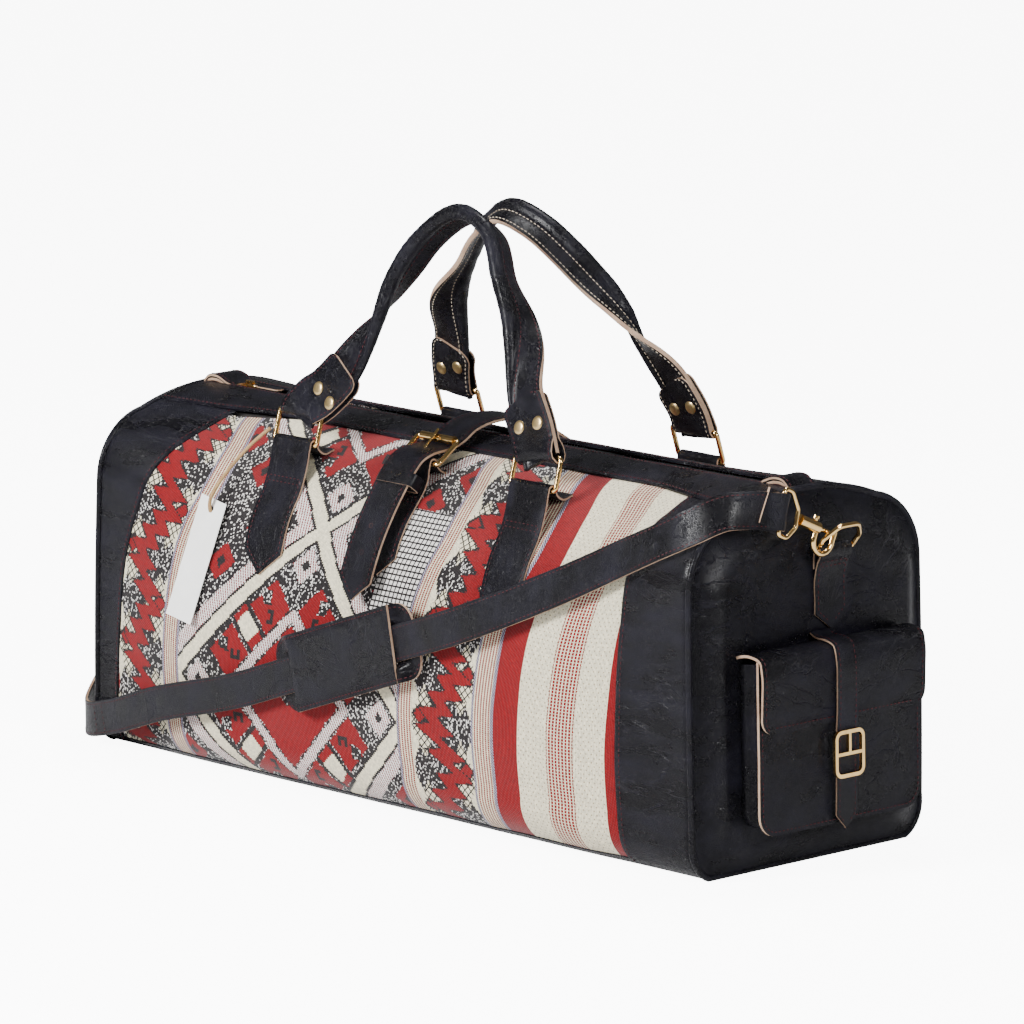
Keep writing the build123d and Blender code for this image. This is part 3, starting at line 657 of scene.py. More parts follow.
@dataclass(frozen=True)
class LeatherFinish:
    """Smooth dyed leather with pores, creases and slightly worn high spots."""

    name: str
    colour: Colour = rgb(0.0022, 0.0020, 0.0034)
    worn: Colour = rgb(0.008, 0.0075, 0.014)
    rough: float = 0.29
    pore: float = 900.0
    crease: float = 34.0
    stretch: tuple[float, float, float] = (1.0, 1.0, 1.0)
    depth: float = 0.8

    def material(self) -> bpy.types.Material:
        """Build the material."""
        material, shader = principled(self.name, Specular_IOR_Level=0.2)
        tree = material.node_tree
        mapping = tree.nodes.new("ShaderNodeMapping")
        mapping.inputs["Scale"].default_value = self.stretch
        tree.links.new(object_vector(tree), mapping.inputs["Vector"])
        group = tree.nodes.new("ShaderNodeGroup")
        group.node_tree = grain_group()
        tree.links.new(mapping.outputs[0], group.inputs["Vector"])
        group.inputs["Pore"].default_value = self.pore
        group.inputs["Crease"].default_value = self.crease
        wear = Field(tree, group.outputs["Wear"])
        line = Field(tree, group.outputs["Line"])
        base = mix(tree, wear, self.colour, self.worn)
        tree.links.new(mix(tree, line * 0.55, base, self.worn), shader.inputs["Base Color"])
        rough = Field(tree, group.outputs["Rough"]) + self.rough
        tree.links.new(rough.socket, shader.inputs["Roughness"])
        bump(tree, shader, Field(tree, group.outputs["Height"]), self.depth, 0.0012)
        return material


@dataclass(frozen=True)
class FibreFinish:
    """Undyed fibre, such as a cut edge, card, thread, twine or lining: one colour broken by fine fibres."""

    name: str
    colour: Colour
    shade: Colour
    scale: float = 900.0
    rough: float = 0.8
    stretch: tuple[float, float, float] = (1.0, 1.0, 1.0)
    depth: float = 0.35

    def material(self) -> bpy.types.Material:
        """Build the material."""
        material, shader = principled(self.name, Specular_IOR_Level=0.25)
        tree = material.node_tree
        vector = object_vector(tree)
        fibre = noise(tree, vector, self.scale, 3.0, 0.6, self.stretch)
        cloud = noise(tree, vector, 60.0, 2.0)
        tree.links.new(mix(tree, ramp(tree, fibre * 0.6 + cloud * 0.4, 0.35, 0.65), self.colour, self.shade),
                       shader.inputs["Base Color"])
        tree.links.new(ramp(tree, fibre, 0.3, 0.7, self.rough - 0.1, self.rough + 0.1).socket,
                       shader.inputs["Roughness"])
        bump(tree, shader, fibre, self.depth, 0.0006)
        return material


@dataclass(frozen=True)
class MetalFinish:
    """Cast or drawn metal with faint smudges and fine scratches."""

    name: str
    colour: Colour
    tarnish: Colour
    rough: float = 0.16
    patina: float = 0.35

    def material(self) -> bpy.types.Material:
        """Build the material."""
        material, shader = principled(self.name, Metallic=1.0)
        tree = material.node_tree
        vector = object_vector(tree)
        smudge = noise(tree, vector, 140.0, 4.0, 0.6)
        fine = noise(tree, vector, 1400.0, 2.0, 0.5, (1.0, 1.0, 0.12))
        tree.links.new(mix(tree, ramp(tree, smudge, 0.45, 0.75, 0.0, self.patina), self.colour, self.tarnish),
                       shader.inputs["Base Color"])
        rough = ramp(tree, smudge, 0.35, 0.7, self.rough * 0.7, self.rough * 1.6)
        tree.links.new(rough.socket, shader.inputs["Roughness"])
        bump(tree, shader, fine, 0.12, 0.0002)
        return material


@dataclass(frozen=True)
class KilimFinish:
    """Flat-woven kilim: bands of stripes, two borders of red scrolls, and a field of large diamonds.

    The weave's own map gives u along the bag and v up its side, both in metres. The pattern is worked out on
    a coarse grid of knots, so that its slanting edges step as woven ones do.
    """

    name: str = "kilim_weave"
    red: Colour = rgb(0.235, 0.0006, 0.0036)
    cream: Colour = rgb(0.90, 0.82, 0.60)
    white: Colour = rgb(0.92, 0.88, 0.84)
    black: Colour = rgb(0.012, 0.009, 0.010)
    lilac: Colour = rgb(0.42, 0.38, 0.50)
    knot_u: float = 1.9
    knot_v: float = 1.7

    def material(self) -> bpy.types.Material:
        """Build the material."""
        material, shader = principled(self.name, Specular_IOR_Level=0.12, Sheen_Weight=0.15)
        tree = material.node_tree
        uv = tree.nodes.new("ShaderNodeUVMap")
        uv.uv_map = "weave"
        split = tree.nodes.new("ShaderNodeSeparateXYZ")
        tree.links.new(uv.outputs[0], split.inputs[0])
        fine_u = Field(tree, split.outputs[0]) * 1000.0
        fine_v = Field(tree, split.outputs[1]) * 1000.0
        u, v = fine_u.stepped(self.knot_u), fine_v.stepped(self.knot_v)
        speck = self.speckle(tree, fine_u, fine_v)
        colour = self.ground(tree, speck, 0.30)
        colour = self.field(tree, colour, u, v, fine_u, fine_v, speck)
        for start, hand in ((52.0, 1.0), (-318.0, 1.0)):
            colour = self.border(tree, colour, u, v, fine_u, fine_v, speck, start, hand)
        colour = self.stripes(tree, colour, fine_u, fine_v)
        self.finish(tree, shader, colour, fine_u, fine_v)
        return material

    def speckle(self, tree: bpy.types.NodeTree, fine_u: Field, fine_v: Field) -> Field:
        """Random value for each small knot."""
        node = tree.nodes.new("ShaderNodeTexWhiteNoise")
        node.noise_dimensions = "2D"
        join_xy = tree.nodes.new("ShaderNodeCombineXYZ")
        tree.links.new(fine_u.stepped(1.1).socket, join_xy.inputs[0])
        tree.links.new(fine_v.stepped(1.3).socket, join_xy.inputs[1])
        tree.links.new(join_xy.outputs[0], node.inputs["Vector"])
        return Field(tree, node.outputs["Value"])

    def ground(self, tree: bpy.types.NodeTree, speck: Field, share: float) -> bpy.types.NodeSocket:
        """Black ground with a share of pale knots."""
        return mix(tree, speck.above(1.0 - share * 0.55), self.black, self.white)

    def twill(self, tree: bpy.types.NodeTree, fine_u: Field, fine_v: Field) -> bpy.types.NodeSocket:
        """Red and white slanting yarns, two millimetres apart."""
        slant = (fine_u * 0.8 + fine_v * 0.35).repeat(2.3).size()
        cross = fine_v.repeat(2.1).size()
        return mix(tree, slant.below(0.62).either(cross.below(0.2)), self.red, self.white)

    def field(self, tree: bpy.types.NodeTree, under: bpy.types.NodeSocket, u: Field, v: Field, fine_u: Field,
              fine_v: Field, speck: Field) -> bpy.types.NodeSocket:
        """Central field between the borders: large diamonds outlined in cream, with hooked blocks inside.

        With du and dv the distances from the nearest diamond's middle, inward = (half - du - dv) / sqrt 2 is
        the depth inside its outline and b = (dv - du) / sqrt 2 the place along its side.
        """
        half = 138.0
        du_big = (u + 95.0).repeat(2 * half).size()
        dv_big = (v - 80.0).repeat(2 * half).size()
        inward = (du_big * -1.0 - dv_big + half) * 0.7071
        side = ((dv_big - du_big) * 0.7071).size()
        twill = self.twill(tree, fine_u, fine_v)
        colour = under
        outside = inward * -1.0
        colour = mix(tree, outside.between(8.0, 20.0), colour, twill)
        along = side.repeat(44.0).size()
        colour = mix(tree, outside.between(30.0, 52.0) * along.below(12.0), colour, self.red)
        colour = mix(tree, outside.between(37.0, 45.0) * along.below(4.0), colour, self.black)
        checker = fine_u.repeat(4.6).size().below(1.6) * fine_v.repeat(4.6).size().below(1.6)
        patch = (u - 12.0).size().below(24.0) * (v - 205.0).size().below(46.0)
        patch = patch * outside.above(22.0)
        colour = mix(tree, patch, colour, self.black)
        colour = mix(tree, patch * checker, colour, self.white)
        # Hooked red blocks along each side, with a black curl cut into each
        lane = inward.between(13.0, 44.0)
        block = lane * side.between(13.0, 47.0)
        notch = (inward - 19.0).size() + (side - 31.0).size() * 1.3
        red_block = block * notch.above(9.0)
        colour = mix(tree, red_block, colour, self.red)
        curl = (inward - 33.0).size() + (side - 24.0).size()
        colour = mix(tree, block * curl.between(3.5, 8.5) * (side + inward).above(54.0), colour, self.black)
        bar = side.below(8.0) * inward.between(15.0, 36.0)
        colour = mix(tree, side.below(11.0) * inward.between(9.0, 44.0), colour, self.black)
        colour = mix(tree, side.below(8.0) * inward.between(9.0, 44.0), colour, self.red)
        colour = mix(tree, bar, colour, self.cream)
        colour = mix(tree, inward.between(46.0, 54.0), colour, twill)
        colour = mix(tree, inward.between(56.0, 92.0), colour, self.red)
        # Small eye at each corner
        eye_u = (du_big - (half - 30.0)).size() + dv_big
        eye_v = (dv_big - (half - 30.0)).size() + du_big
        eye = eye_u.smaller(eye_v)
        colour = mix(tree, eye.below(21.0), colour, self.ground(tree, speck, 0.5))
        colour = mix(tree, eye.below(15.0), colour, twill)
        colour = mix(tree, eye.below(5.0), colour, self.black)
        # Outline: cream band edged with black
        colour = mix(tree, inward.size().below(8.0), colour, self.black)
        return mix(tree, inward.size().below(5.6), colour, self.cream)

    def border(self, tree: bpy.types.NodeTree, under: bpy.types.NodeSocket, u: Field, v: Field, fine_u: Field,
               fine_v: Field, speck: Field, start: float, hand: float) -> bpy.types.NodeSocket:
        """Border of red scrolls between pale diamonds.

        The scrolls follow a fast zigzag whose middle swings slowly from side to side; a cluster of pale
        diamonds with a red knot lies in each bay that the swing leaves.
        """
        width, period = 69.0, 78.0
        x = u - (start + width / 2)
        fine_x = fine_u - (start + width / 2)
        inside = fine_x.size().below(width / 2)
        colour = mix(tree, inside, under, self.ground(tree, speck, 0.32))
        middle = ((v - 8.0).swing(period / 2) - period / 4) * (0.62 * hand)
        # Bays of pale diamonds, with cream wedges at the edges
        for shift, way in ((period * 0.25 + 8.0, 1.0), (period * 0.75 + 8.0, -1.0)):
            dv = (v - shift - period * 0.25).repeat(period)
            cx = x - way * hand * 21.0
            fx = fine_x - way * hand * 21.0
            fv = (fine_v - shift - period * 0.25).repeat(period)
            cluster = cx.size() * 1.6 + dv.size()
            gem = (fx + fv).repeat(7.0).size().below(2.7) * (fx - fv).repeat(7.0).size().below(2.7)
            colour = mix(tree, inside * cluster.below(30.0), colour, self.black)
            colour = mix(tree, inside * cluster.below(29.0) * gem, colour, self.cream)
            knot = (cx - way * hand * 4.0).size() + (dv - 5.0).size()
            colour = mix(tree, inside * knot.below(9.5), colour, self.black)
            colour = mix(tree, inside * knot.below(7.0), colour, self.red)
        wedge = (v - 8.0).repeat(period / 2).size() * 0.55
        colour = mix(tree, inside * (x.size() + wedge).above(width / 2 + 3.0), colour, self.cream)
        snake = x - middle - ((v + fine_u * 0.25).swing(8.0) - 4.0) * 2.4
        away = snake.size()
        colour = mix(tree, inside * away.below(14.5), colour, self.black)
        colour = mix(tree, inside * away.below(11.2), colour, self.red)
        return colour

    def stripes(self, tree: bpy.types.NodeTree, under: bpy.types.NodeSocket, fine_u: Field,
                fine_v: Field) -> bpy.types.NodeSocket:
        """Plain and fine-lined bands along the borders and towards the right end."""
        colour = under
        fine = fine_u.repeat(3.1).size().below(0.95)
        fine = fine * (fine_v.repeat(1.7).size().above(0.16))
        lines = mix(tree, fine, self.cream, self.red)
        for low, high in ((122.0, 141.0), (37.0, 52.0), (-249.0, -232.0)):
            colour = mix(tree, fine_u.between(low, high), colour, lines)
        for low, high in ((141.0, 144.5), (34.5, 37.0), (-232.0, -229.0), (119.5, 122.0), (-251.5, -249.0)):
            colour = mix(tree, fine_u.between(low, high), colour,
                         mix(tree, (fine_v + fine_u).repeat(2.4).size().below(0.7), self.black, self.lilac))
        picks = (fine_u.repeat(5.4).size() + fine_v.repeat(6.4).size()).below(0.75)
        between = (fine_u + 2.7).repeat(5.4).size() + (fine_v + 3.2).repeat(6.4).size()
        picks = picks.either(between.below(0.75))
        dotted = mix(tree, picks, self.cream, rgb(0.34, 0.26, 0.14))
        colour = mix(tree, fine_u.above(144.5), colour, self.red)
        colour = mix(tree, fine_u.between(171.0, 264.0), colour, dotted)
        red_fine = (fine_u - 203.0).repeat(3.6).size().below(1.15) * fine_v.repeat(2.6).size().above(0.22)
        colour = mix(tree, fine_u.between(203.0, 232.0), colour, mix(tree, red_fine, self.cream, self.red))
        return colour

    def finish(self, tree: bpy.types.NodeTree, shader: bpy.types.Node, colour: bpy.types.NodeSocket,
               fine_u: Field, fine_v: Field) -> None:
        """Yarn relief over the pattern, ribs along v, with painted shade in the grooves between the ribs, and a
        soft mottling of the dye.
        """
        vector = object_vector(tree)
        rib = fine_u.repeat(1.55).size()
        twist = (fine_v + fine_u * 0.5).repeat(2.2).size()
        # Painted shade: the colour falls to 0.58 in the grooves between the yarn ribs; the mottling multiplied
        # in below is the dye's own.
        shade = ramp(tree, rib, 0.0, 0.775, 1.0, 0.58)
        mottle = ramp(tree, noise(tree, vector, 420.0, 3.0, 0.7), 0.3, 0.7, 0.62, 1.12)
        value = shade * mottle
        grey = tree.nodes.new("ShaderNodeCombineColor")
        for channel in ("Red", "Green", "Blue"):
            tree.links.new(value.socket, grey.inputs[channel])
        tree.links.new(mix(tree, 1.0, colour, grey.outputs[0], "MULTIPLY"), shader.inputs["Base Color"])
        rough = ramp(tree, rib, 0.0, 0.8, 0.72, 0.92)
        tree.links.new(rough.socket, shader.inputs["Roughness"])
        bump(tree, shader, twist * -0.35 - rib, 0.55, 0.0007)


class Finish(Enum):
    """Every finish of the bag, by the piece of stock it is cut from."""

    BODY_LEATHER = LeatherFinish("body_leather")
    BAND_LEATHER = LeatherFinish("band_leather", stretch=(0.55, 1.0, 1.9), crease=30.0)
    END_LEATHER = LeatherFinish("end_leather", stretch=(1.0, 0.8, 1.3), crease=26.0, depth=1.0)
    STRAP_LEATHER = LeatherFinish("strap_leather", rough=0.33, crease=46.0, stretch=(1.4, 1.0, 0.8))
    HANDLE_LEATHER = LeatherFinish("handle_leather", rough=0.27, crease=60.0, depth=0.7)
    CUT_EDGE = FibreFinish("cut_edge", rgb(0.50, 0.36, 0.25), rgb(0.26, 0.15, 0.10), 1500.0)
    DARK_EDGE = FibreFinish("dark_edge", rgb(0.06, 0.035, 0.035), rgb(0.02, 0.014, 0.016), 1500.0)
    THREAD = FibreFinish("maroon_thread", rgb(0.085, 0.014, 0.018), rgb(0.035, 0.008, 0.010), 2600.0, 0.6)
    PALE_THREAD = FibreFinish("pale_thread", rgb(0.72, 0.63, 0.50), rgb(0.45, 0.36, 0.27), 2600.0, 0.7)
    CARD = FibreFinish("white_card", rgb(0.90, 0.90, 0.88), rgb(0.80, 0.80, 0.78), 2200.0, 0.75, depth=0.15)
    TWINE = FibreFinish("raffia_twine", rgb(0.42, 0.27, 0.13), rgb(0.22, 0.13, 0.06), 1300.0, 0.85,
                        (1, 1, 0.3), 0.8)
    LINING = FibreFinish("lining_cloth", rgb(0.055, 0.050, 0.048), rgb(0.03, 0.028, 0.028), 1400.0, 0.85)
    BOARD = FibreFinish("base_board", rgb(0.30, 0.20, 0.12), rgb(0.20, 0.13, 0.08), 700.0, 0.85)
    TAPE = FibreFinish("zip_tape", rgb(0.016, 0.015, 0.018), rgb(0.030, 0.028, 0.034), 2400.0, 0.75)
    TEETH = MetalFinish("zip_teeth_metal", rgb(0.62, 0.50, 0.30), rgb(0.30, 0.23, 0.13), 0.3)
    BRASS = MetalFinish("polished_brass", rgb(0.86, 0.58, 0.24), rgb(0.42, 0.23, 0.08), 0.15)
    ANTIQUE = MetalFinish("antique_brass", rgb(0.42, 0.30, 0.16), rgb(0.13, 0.09, 0.05), 0.34, 0.7)
    KILIM = KilimFinish()

    @property
    def material(self) -> bpy.types.Material:
        """The finish's material, built once."""
        found = bpy.data.materials.get(self.value.name)
        return found or self.value.material()


LEATHER_AND_EDGE = (Finish.STRAP_LEATHER, Finish.CUT_EDGE)


def stock(*finishes: Finish) -> list[bpy.types.Material]:
    """Materials of several finishes."""
    return [finish.material for finish in finishes]


def dress(finish: Finish, *nodes: str) -> None:
    """Give nodes of the frame a finish."""
    for node in nodes:
        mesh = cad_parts[node].data
        mesh.materials.clear()
        mesh.materials.append(finish.material)
        log.info("%s: %s", node, finish.value.name)


# ---------------------------------------------------------------- the bag's surface


def arc_points(start: Sequence[float], via: Sequence[float], end: Sequence[float], count: int) -> Array:
    """Points of the circular arc through three points of a plane."""
    (ax, ay), (bx, by), (cx, cy) = start, via, end
    d = 2 * (ax * (by - cy) + bx * (cy - ay) + cx * (ay - by))
    a2, b2, c2 = ax * ax + ay * ay, bx * bx + by * by, cx * cx + cy * cy
    ux = (a2 * (by - cy) + b2 * (cy - ay) + c2 * (ay - by)) / d
    uy = (a2 * (cx - bx) + b2 * (ax - cx) + c2 * (bx - ax)) / d
    angles = np.unwrap([math.atan2(y - uy, x - ux) for x, y in (start, via, end)])
    t = np.linspace(angles[0], angles[2], count)
    radius = math.hypot(ax - ux, ay - uy)
    return np.stack([ux + radius * np.cos(t), uy + radius * np.sin(t)], axis=1)


@dataclass
class BagSurface:
    """The bag's outer skin: a half-profile in the middle that goes over smoothly into one at each end.

    A point has x along the bag, v from 0 at the foot of the side to 1 at the zip, and its distance out.
    """

    half_length: float = 346.0
    middle_half: float = 205.0
    lean: float = math.tan(math.radians(1.5))
    middle: tuple = ((98, 0), ((123, 10), (136, 42)), ((140, 105), (124, 195)), ((106, 236), (80, 262)),
                     ((44, 281), (0, 290)))
    end: tuple = ((96, 0), ((117, 9), (124, 32)), ((125, 125), (124, 222)), ((112, 256), (80, 275)),
                  ((42, 286), (0, 290)))

    def __post_init__(self) -> None:
        """Sample both profiles evenly."""
        self.v = np.linspace(0.0, 1.0, 241)
        self.mid_line, self.mid_length = self.sampled(self.middle)
        self.end_line, self.end_length = self.sampled(self.end)

    def sampled(self, profile: tuple) -> tuple[Array, float]:
        """Evenly spaced points of a profile of arcs, and its length."""
        base, *arcs = profile
        parts, start = [np.array([base], float)], base
        for via, end in arcs:
            parts.append(arc_points(start, via, end, 40)[1:])
            start = end
        line = np.concatenate(parts)
        total = lengths(line)[-1]
        return at_lengths(line, self.v * total), float(total)

    def weight(self, x: Array) -> Array:
        """Share of the end's profile at x."""
        return ease((np.abs(x) - self.middle_half) / (self.half_length - self.middle_half))

    def flat(self, x: Array, v: Array) -> tuple[Array, Array, Array]:
        """x, distance from the middle plane and height, before any swelling."""
        w = self.weight(x)
        y = np.interp(v, self.v, self.mid_line[:, 0]) * (1 - w) + np.interp(v, self.v, self.end_line[:, 0]) * w
        z = np.interp(v, self.v, self.mid_line[:, 1]) * (1 - w) + np.interp(v, self.v, self.end_line[:, 1]) * w
        return x - np.sign(x) * self.lean * z * w, y, z

    def v_at(self, x: Array, value: float, axis: int, end_value: Optional[float] = None) -> Array:
        """v where the profile reaches a height (axis 1) or, on its upper half, a depth (axis 0)."""
        w = self.weight(x)
        found = []
        at_end = value if end_value is None else end_value
        for line, target in ((self.mid_line, value), (self.end_line, at_end)):
            if axis == 1:
                found.append(np.interp(target, line[:, 1], self.v))
            else:
                upper = self.v > 0.55
                found.append(np.interp(target, line[upper][::-1, 0], self.v[upper][::-1]))
        return found[0] * (1 - w) + found[1] * w

    def at(self, x: Array, v: Array, out: Union[float, Array] = 0.0, front: int = -1) -> Array:
        """Points of the skin, moved out along its normal and gently swollen.

        The normal is the cross product of the differences along v and x; the swelling is a soft ripple that
        dies away towards the foot, the zip and the ends.
        """
        x, v = np.broadcast_arrays(np.asarray(x, float), np.asarray(v, float))
        step_x, step_v = 1.0, 0.004
        here = self.raw(x, v, front)
        dx = self.raw(x + step_x, v, front) - self.raw(x - step_x, v, front)
        dv = self.raw(x, np.clip(v + step_v, 0, 1), front) - self.raw(x, np.clip(v - step_v, 0, 1), front)
        normal = unit(np.cross(dx, dv)) * -front
        calm = ease(v / 0.12) * ease((1 - v) / 0.2) * ease((self.half_length - np.abs(x)) / 60)
        swell = calm * 1.5 * ripple(here, 210.0, 2.0 + front) + 0.35 * calm * ripple(here, 62.0, 5.0 + front)
        return here + normal * (np.asarray(out) + swell)[..., None]

    def raw(self, x: Array, v: Array, front: int) -> Array:
        """Points of the plain skin."""
        px, y, z = self.flat(x, v)
        return np.stack([px, front * y, z], axis=-1)

    def outline(self, count: int) -> Array:
        """Closed outline of an end, (y, z)."""
        half = self.end_line
        flat = np.stack([np.linspace(-half[0, 0], half[0, 0], 40), np.zeros(40)], axis=1)
        loop = np.concatenate([flat, half[1:], half[::-1][1:] * (-1, 1)])
        return at_lengths(loop, np.linspace(0, lengths(loop)[-1], count + 1))[:-1]


SKIN = BagSurface()


@dataclass(frozen=True)
class EndFrame:
    """One end of the bag: y front to back, up, and out from the end's seam."""

    side: int
    half_length: float = 346.0
    lean: float = math.radians(1.5)

    def place(self, y: Array, up: Array, out: Array) -> Array:
        """Points in space from places on the end."""
        y, up, out = np.broadcast_arrays(np.asarray(y, float), np.asarray(up, float), np.asarray(out, float))
        c, s = math.cos(self.lean), math.sin(self.lean)
        return np.stack([self.side * (self.half_length - up * s + out * c), y, up * c + out * s], axis=-1)

    def normal(self, count: int) -> Array:
        """Outward direction, repeated."""
        return np.tile([self.side * math.cos(self.lean), 0.0, math.sin(self.lean)], (count, 1))


# ---------------------------------------------------------------- body


@dataclass
class Body:
    """Panels, bands, piping, ends, lining and zip of the bag."""

    seam_mid: float = 43.0
    seam_end: float = 62.0
    base_z: float = 6.0
    slot: float = 8.5
    kilim_left: tuple = ((0.0, -324.0), (0.3, -318.0), (0.45, -312.0), (0.62, -292.0), (0.78, -268.0),
                         (1.0, -250.0))
    kilim_right: float = 273.0
    bow: tuple = ((0.0, 0.0), (0.35, 0.0), (0.56, 10.0), (0.66, 22.0), (0.76, 20.0), (0.86, 7.0), (1.0, 4.0))
    columns: int = 150
    rows: int = 84

    def along_side(self, pairs: Sequence[tuple[float, float]], v: Array) -> Array:
        """Smooth value at each v, through (v, value) pairs; a side is about 400 mm long."""
        table = smooth_line([(a * 400, b) for a, b in pairs], 120)
        return np.interp(v * 400, table[:, 0], table[:, 1])

    def left_edge(self, v: Array) -> Array:
        """Where the kilim's left edge is at each v."""
        return self.along_side(self.kilim_left, v)

    def bowing(self, v: Array) -> Array:
        """How far the weave's lines are drawn towards the right at each v."""
        return self.along_side(self.bow, v)

    def base_v(self, x: Array) -> Array:
        """v of the base seam."""
        return SKIN.v_at(x, self.base_z, 1)

    def seam_v(self, x: Array) -> Array:
        """v of the seam under the top band."""
        return SKIN.v_at(x, self.seam_mid, 0, self.seam_end)

    def slot_v(self, x: Array) -> Array:
        """v of the edge beside the zip."""
        return SKIN.v_at(x, self.slot, 0)

    def kilim(self, front: int, name: str) -> None:
        """Woven panel from the base seam to the top band."""
        t = np.linspace(0, 1, self.rows)[None]
        share = np.linspace(0, 1, self.columns)[:, None]
        rough_x = -326 + share * 606
        v = self.base_v(rough_x) * (1 - t) + (self.seam_v(rough_x) + 0.012) * t - 0.006
        left = self.left_edge(v) - 6
        x = left + (self.kilim_right + 6 - left) * share
        uv = np.stack([x - self.bowing(v), (v - self.base_v(0.0 * x)) * SKIN.mid_length], axis=-1)
        shape = plate(SKIN.at(x, v, 0.0, front), SKIN.at(x, v, -2.4, front), uv, 0)
        make_object(name + "_kilim_panel_woven", shape, stock(Finish.KILIM),
                    replaces=[name + "_kilim_panel"])

    def band(self, x: Array, v: Array, front: int, out: float = 1.5) -> Shape:
        """Leather sheet over the skin, with rolled edges."""
        roll = np.zeros_like(x)
        roll[0], roll[-1], roll[:, 0], roll[:, -1] = 0.9, 0.9, 0.9, 0.9
        return plate(SKIN.at(x, v, out - roll, front), SKIN.at(x, v, out - 2.6, front), None, 0)

    def end_bands(self, side: int, name: str) -> None:
        """Leather band at one end, front and rear."""
        shapes, sewing = [], Sewing()
        for front in (-1, 1):
            t = np.linspace(0, 1, 90)[None]
            share = np.concatenate([[0.0, 0.02], np.linspace(0.05, 1, 26)])[:, None]
            guess = side * (285 + 55 * share)
            v = self.base_v(guess) * (1 - t) + (self.seam_v(guess) + 0.008) * t
            inner = self.left_edge(v) if side < 0 else np.full_like(v, self.kilim_right)
            x = inner + (side * 346.0 - inner) * share
            shapes.append(self.band(x, v, front))
            line = SKIN.at(x[2] + side * 1.2, v[2], 1.55, front)
            sewing.row(line, unit(line - SKIN.at(x[2], v[2], -8.0, front)))
        make_object(name + "_end_bands_leather", join(shapes), stock(Finish.BAND_LEATHER),
                    replaces=[name + "_end_bands"])
        sewing.finish(name + "_end_band_stitching", Finish.THREAD.material, "root")

    def top_band(self, front: int, name: str) -> None:
        """Leather band beside the zip."""
        x = np.linspace(-346, 346, 150)[:, None]
        share = np.concatenate([[0.0, 0.03], np.linspace(0.08, 0.92, 22), [0.97, 1.0]])[None]
        v = self.seam_v(x) * (1 - share) + self.slot_v(x) * share
        x = x + 0 * v
        shape = self.band(x, v, front, 2.6)
        make_object(name + "_top_band_leather", shape, stock(Finish.BODY_LEATHER),
                    replaces=[name + "_top_band"])
        sewing = Sewing()
        for column in (2, -3):
            line = SKIN.at(x[:, column], v[:, column], 2.65, front)
            sewing.row(line, unit(line - SKIN.at(x[:, column], v[:, column], -8.0, front)))
        sewing.finish(name + "_top_band_stitching", Finish.THREAD.material, "root")

    def base(self) -> None:
        """Leather base, turned up to the base seam on both sides."""
        x = np.linspace(-346, 346, 90)[:, None]
        t = np.linspace(1, 0, 9)[None]
        v = self.base_v(x) * 1.15 * t
        across = np.linspace(-1, 1, 40)[None, 1:-1]

        def layer(out: float) -> Array:
            """Front turn-up, flat base and rear turn-up at one distance out."""
            foot = SKIN.at(x[:, 0], 0 * x[:, 0], 0.0, -1)
            flat = np.stack([foot[:, :1] + 0 * across, -across * foot[:, 1:2], np.full((len(x), 38), -out)],
                            axis=-1)
            front, rear = SKIN.at(x, v, out, -1), SKIN.at(x, v, out, 1)
            front[:, :, 2] = np.maximum(front[:, :, 2], -out)
            rear[:, :, 2] = np.maximum(rear[:, :, 2], -out)
            return np.concatenate([front, flat, rear[:, ::-1]], axis=1)

        outer, inner = layer(0.9), layer(-2.2)
        outer[..., 2] = np.maximum(outer[..., 2], 0.0)
        make_object("base_panel_leather", plate(outer, inner, None, 0), stock(Finish.BODY_LEATHER),
                    replaces=["base_panel"])

    def end(self, side: int, name: str) -> None:
        """Piping hoop and domed panel of one end."""
        place = EndFrame(side).place
        outline = SKIN.outline(260)
        hoop = place(outline[:, 0] * 1.004, outline[:, 1] + 0.4, 2.6)
        hoop[:, 2] = np.maximum(hoop[:, 2], 2.8)
        track = Track(np.concatenate([hoop, hoop[:1]]), EndFrame(side).normal(261))
        track = Track(track.points[:-1], track.face[:-1])
        track.along = unit(np.roll(hoop, -1, axis=0) - np.roll(hoop, 1, axis=0))
        track.across = unit(np.cross(track.face, track.along))
        make_object(name + "_piping_cord", tube(track, 2.7, 10, closed=True), stock(Finish.BAND_LEATHER),
                    replaces=[name + "_piping"])

        def lift(share: Array, xy: Array) -> Array:
            """Height of the dome: a rounded shoulder, then nearly flat, with slanting wrinkles at its top."""
            inset = (1 - share) * 118.0
            points = np.stack([xy[..., 0], xy[..., 1], 0 * xy[..., 0]], axis=-1)
            slant = np.sin((xy[..., 0] * 0.8 + xy[..., 1]) / 9.0 + 2.0 * ripple(points, 90.0, 3.0))
            aside = ease((np.abs(xy[..., 0] - 12) - 26) / 14)
            corner = ease((xy[..., 1] - 175) / 60) * ease(inset / 14) * aside
            dome = 3.4 + 13.2 * ease(inset / 26 + 0.08)
            return dome + 0.5 * ease(inset / 20) * ripple(points, 70.0, side) + 0.55 * corner * slant

        shape = disc(outline * (0.992, 0.992) + (0, 1.2), 46, lift, 2.6, place, 0)
        make_object(name + "_end_panel_leather", shape, stock(Finish.END_LEATHER),
                    replaces=[name + "_end_panel"])

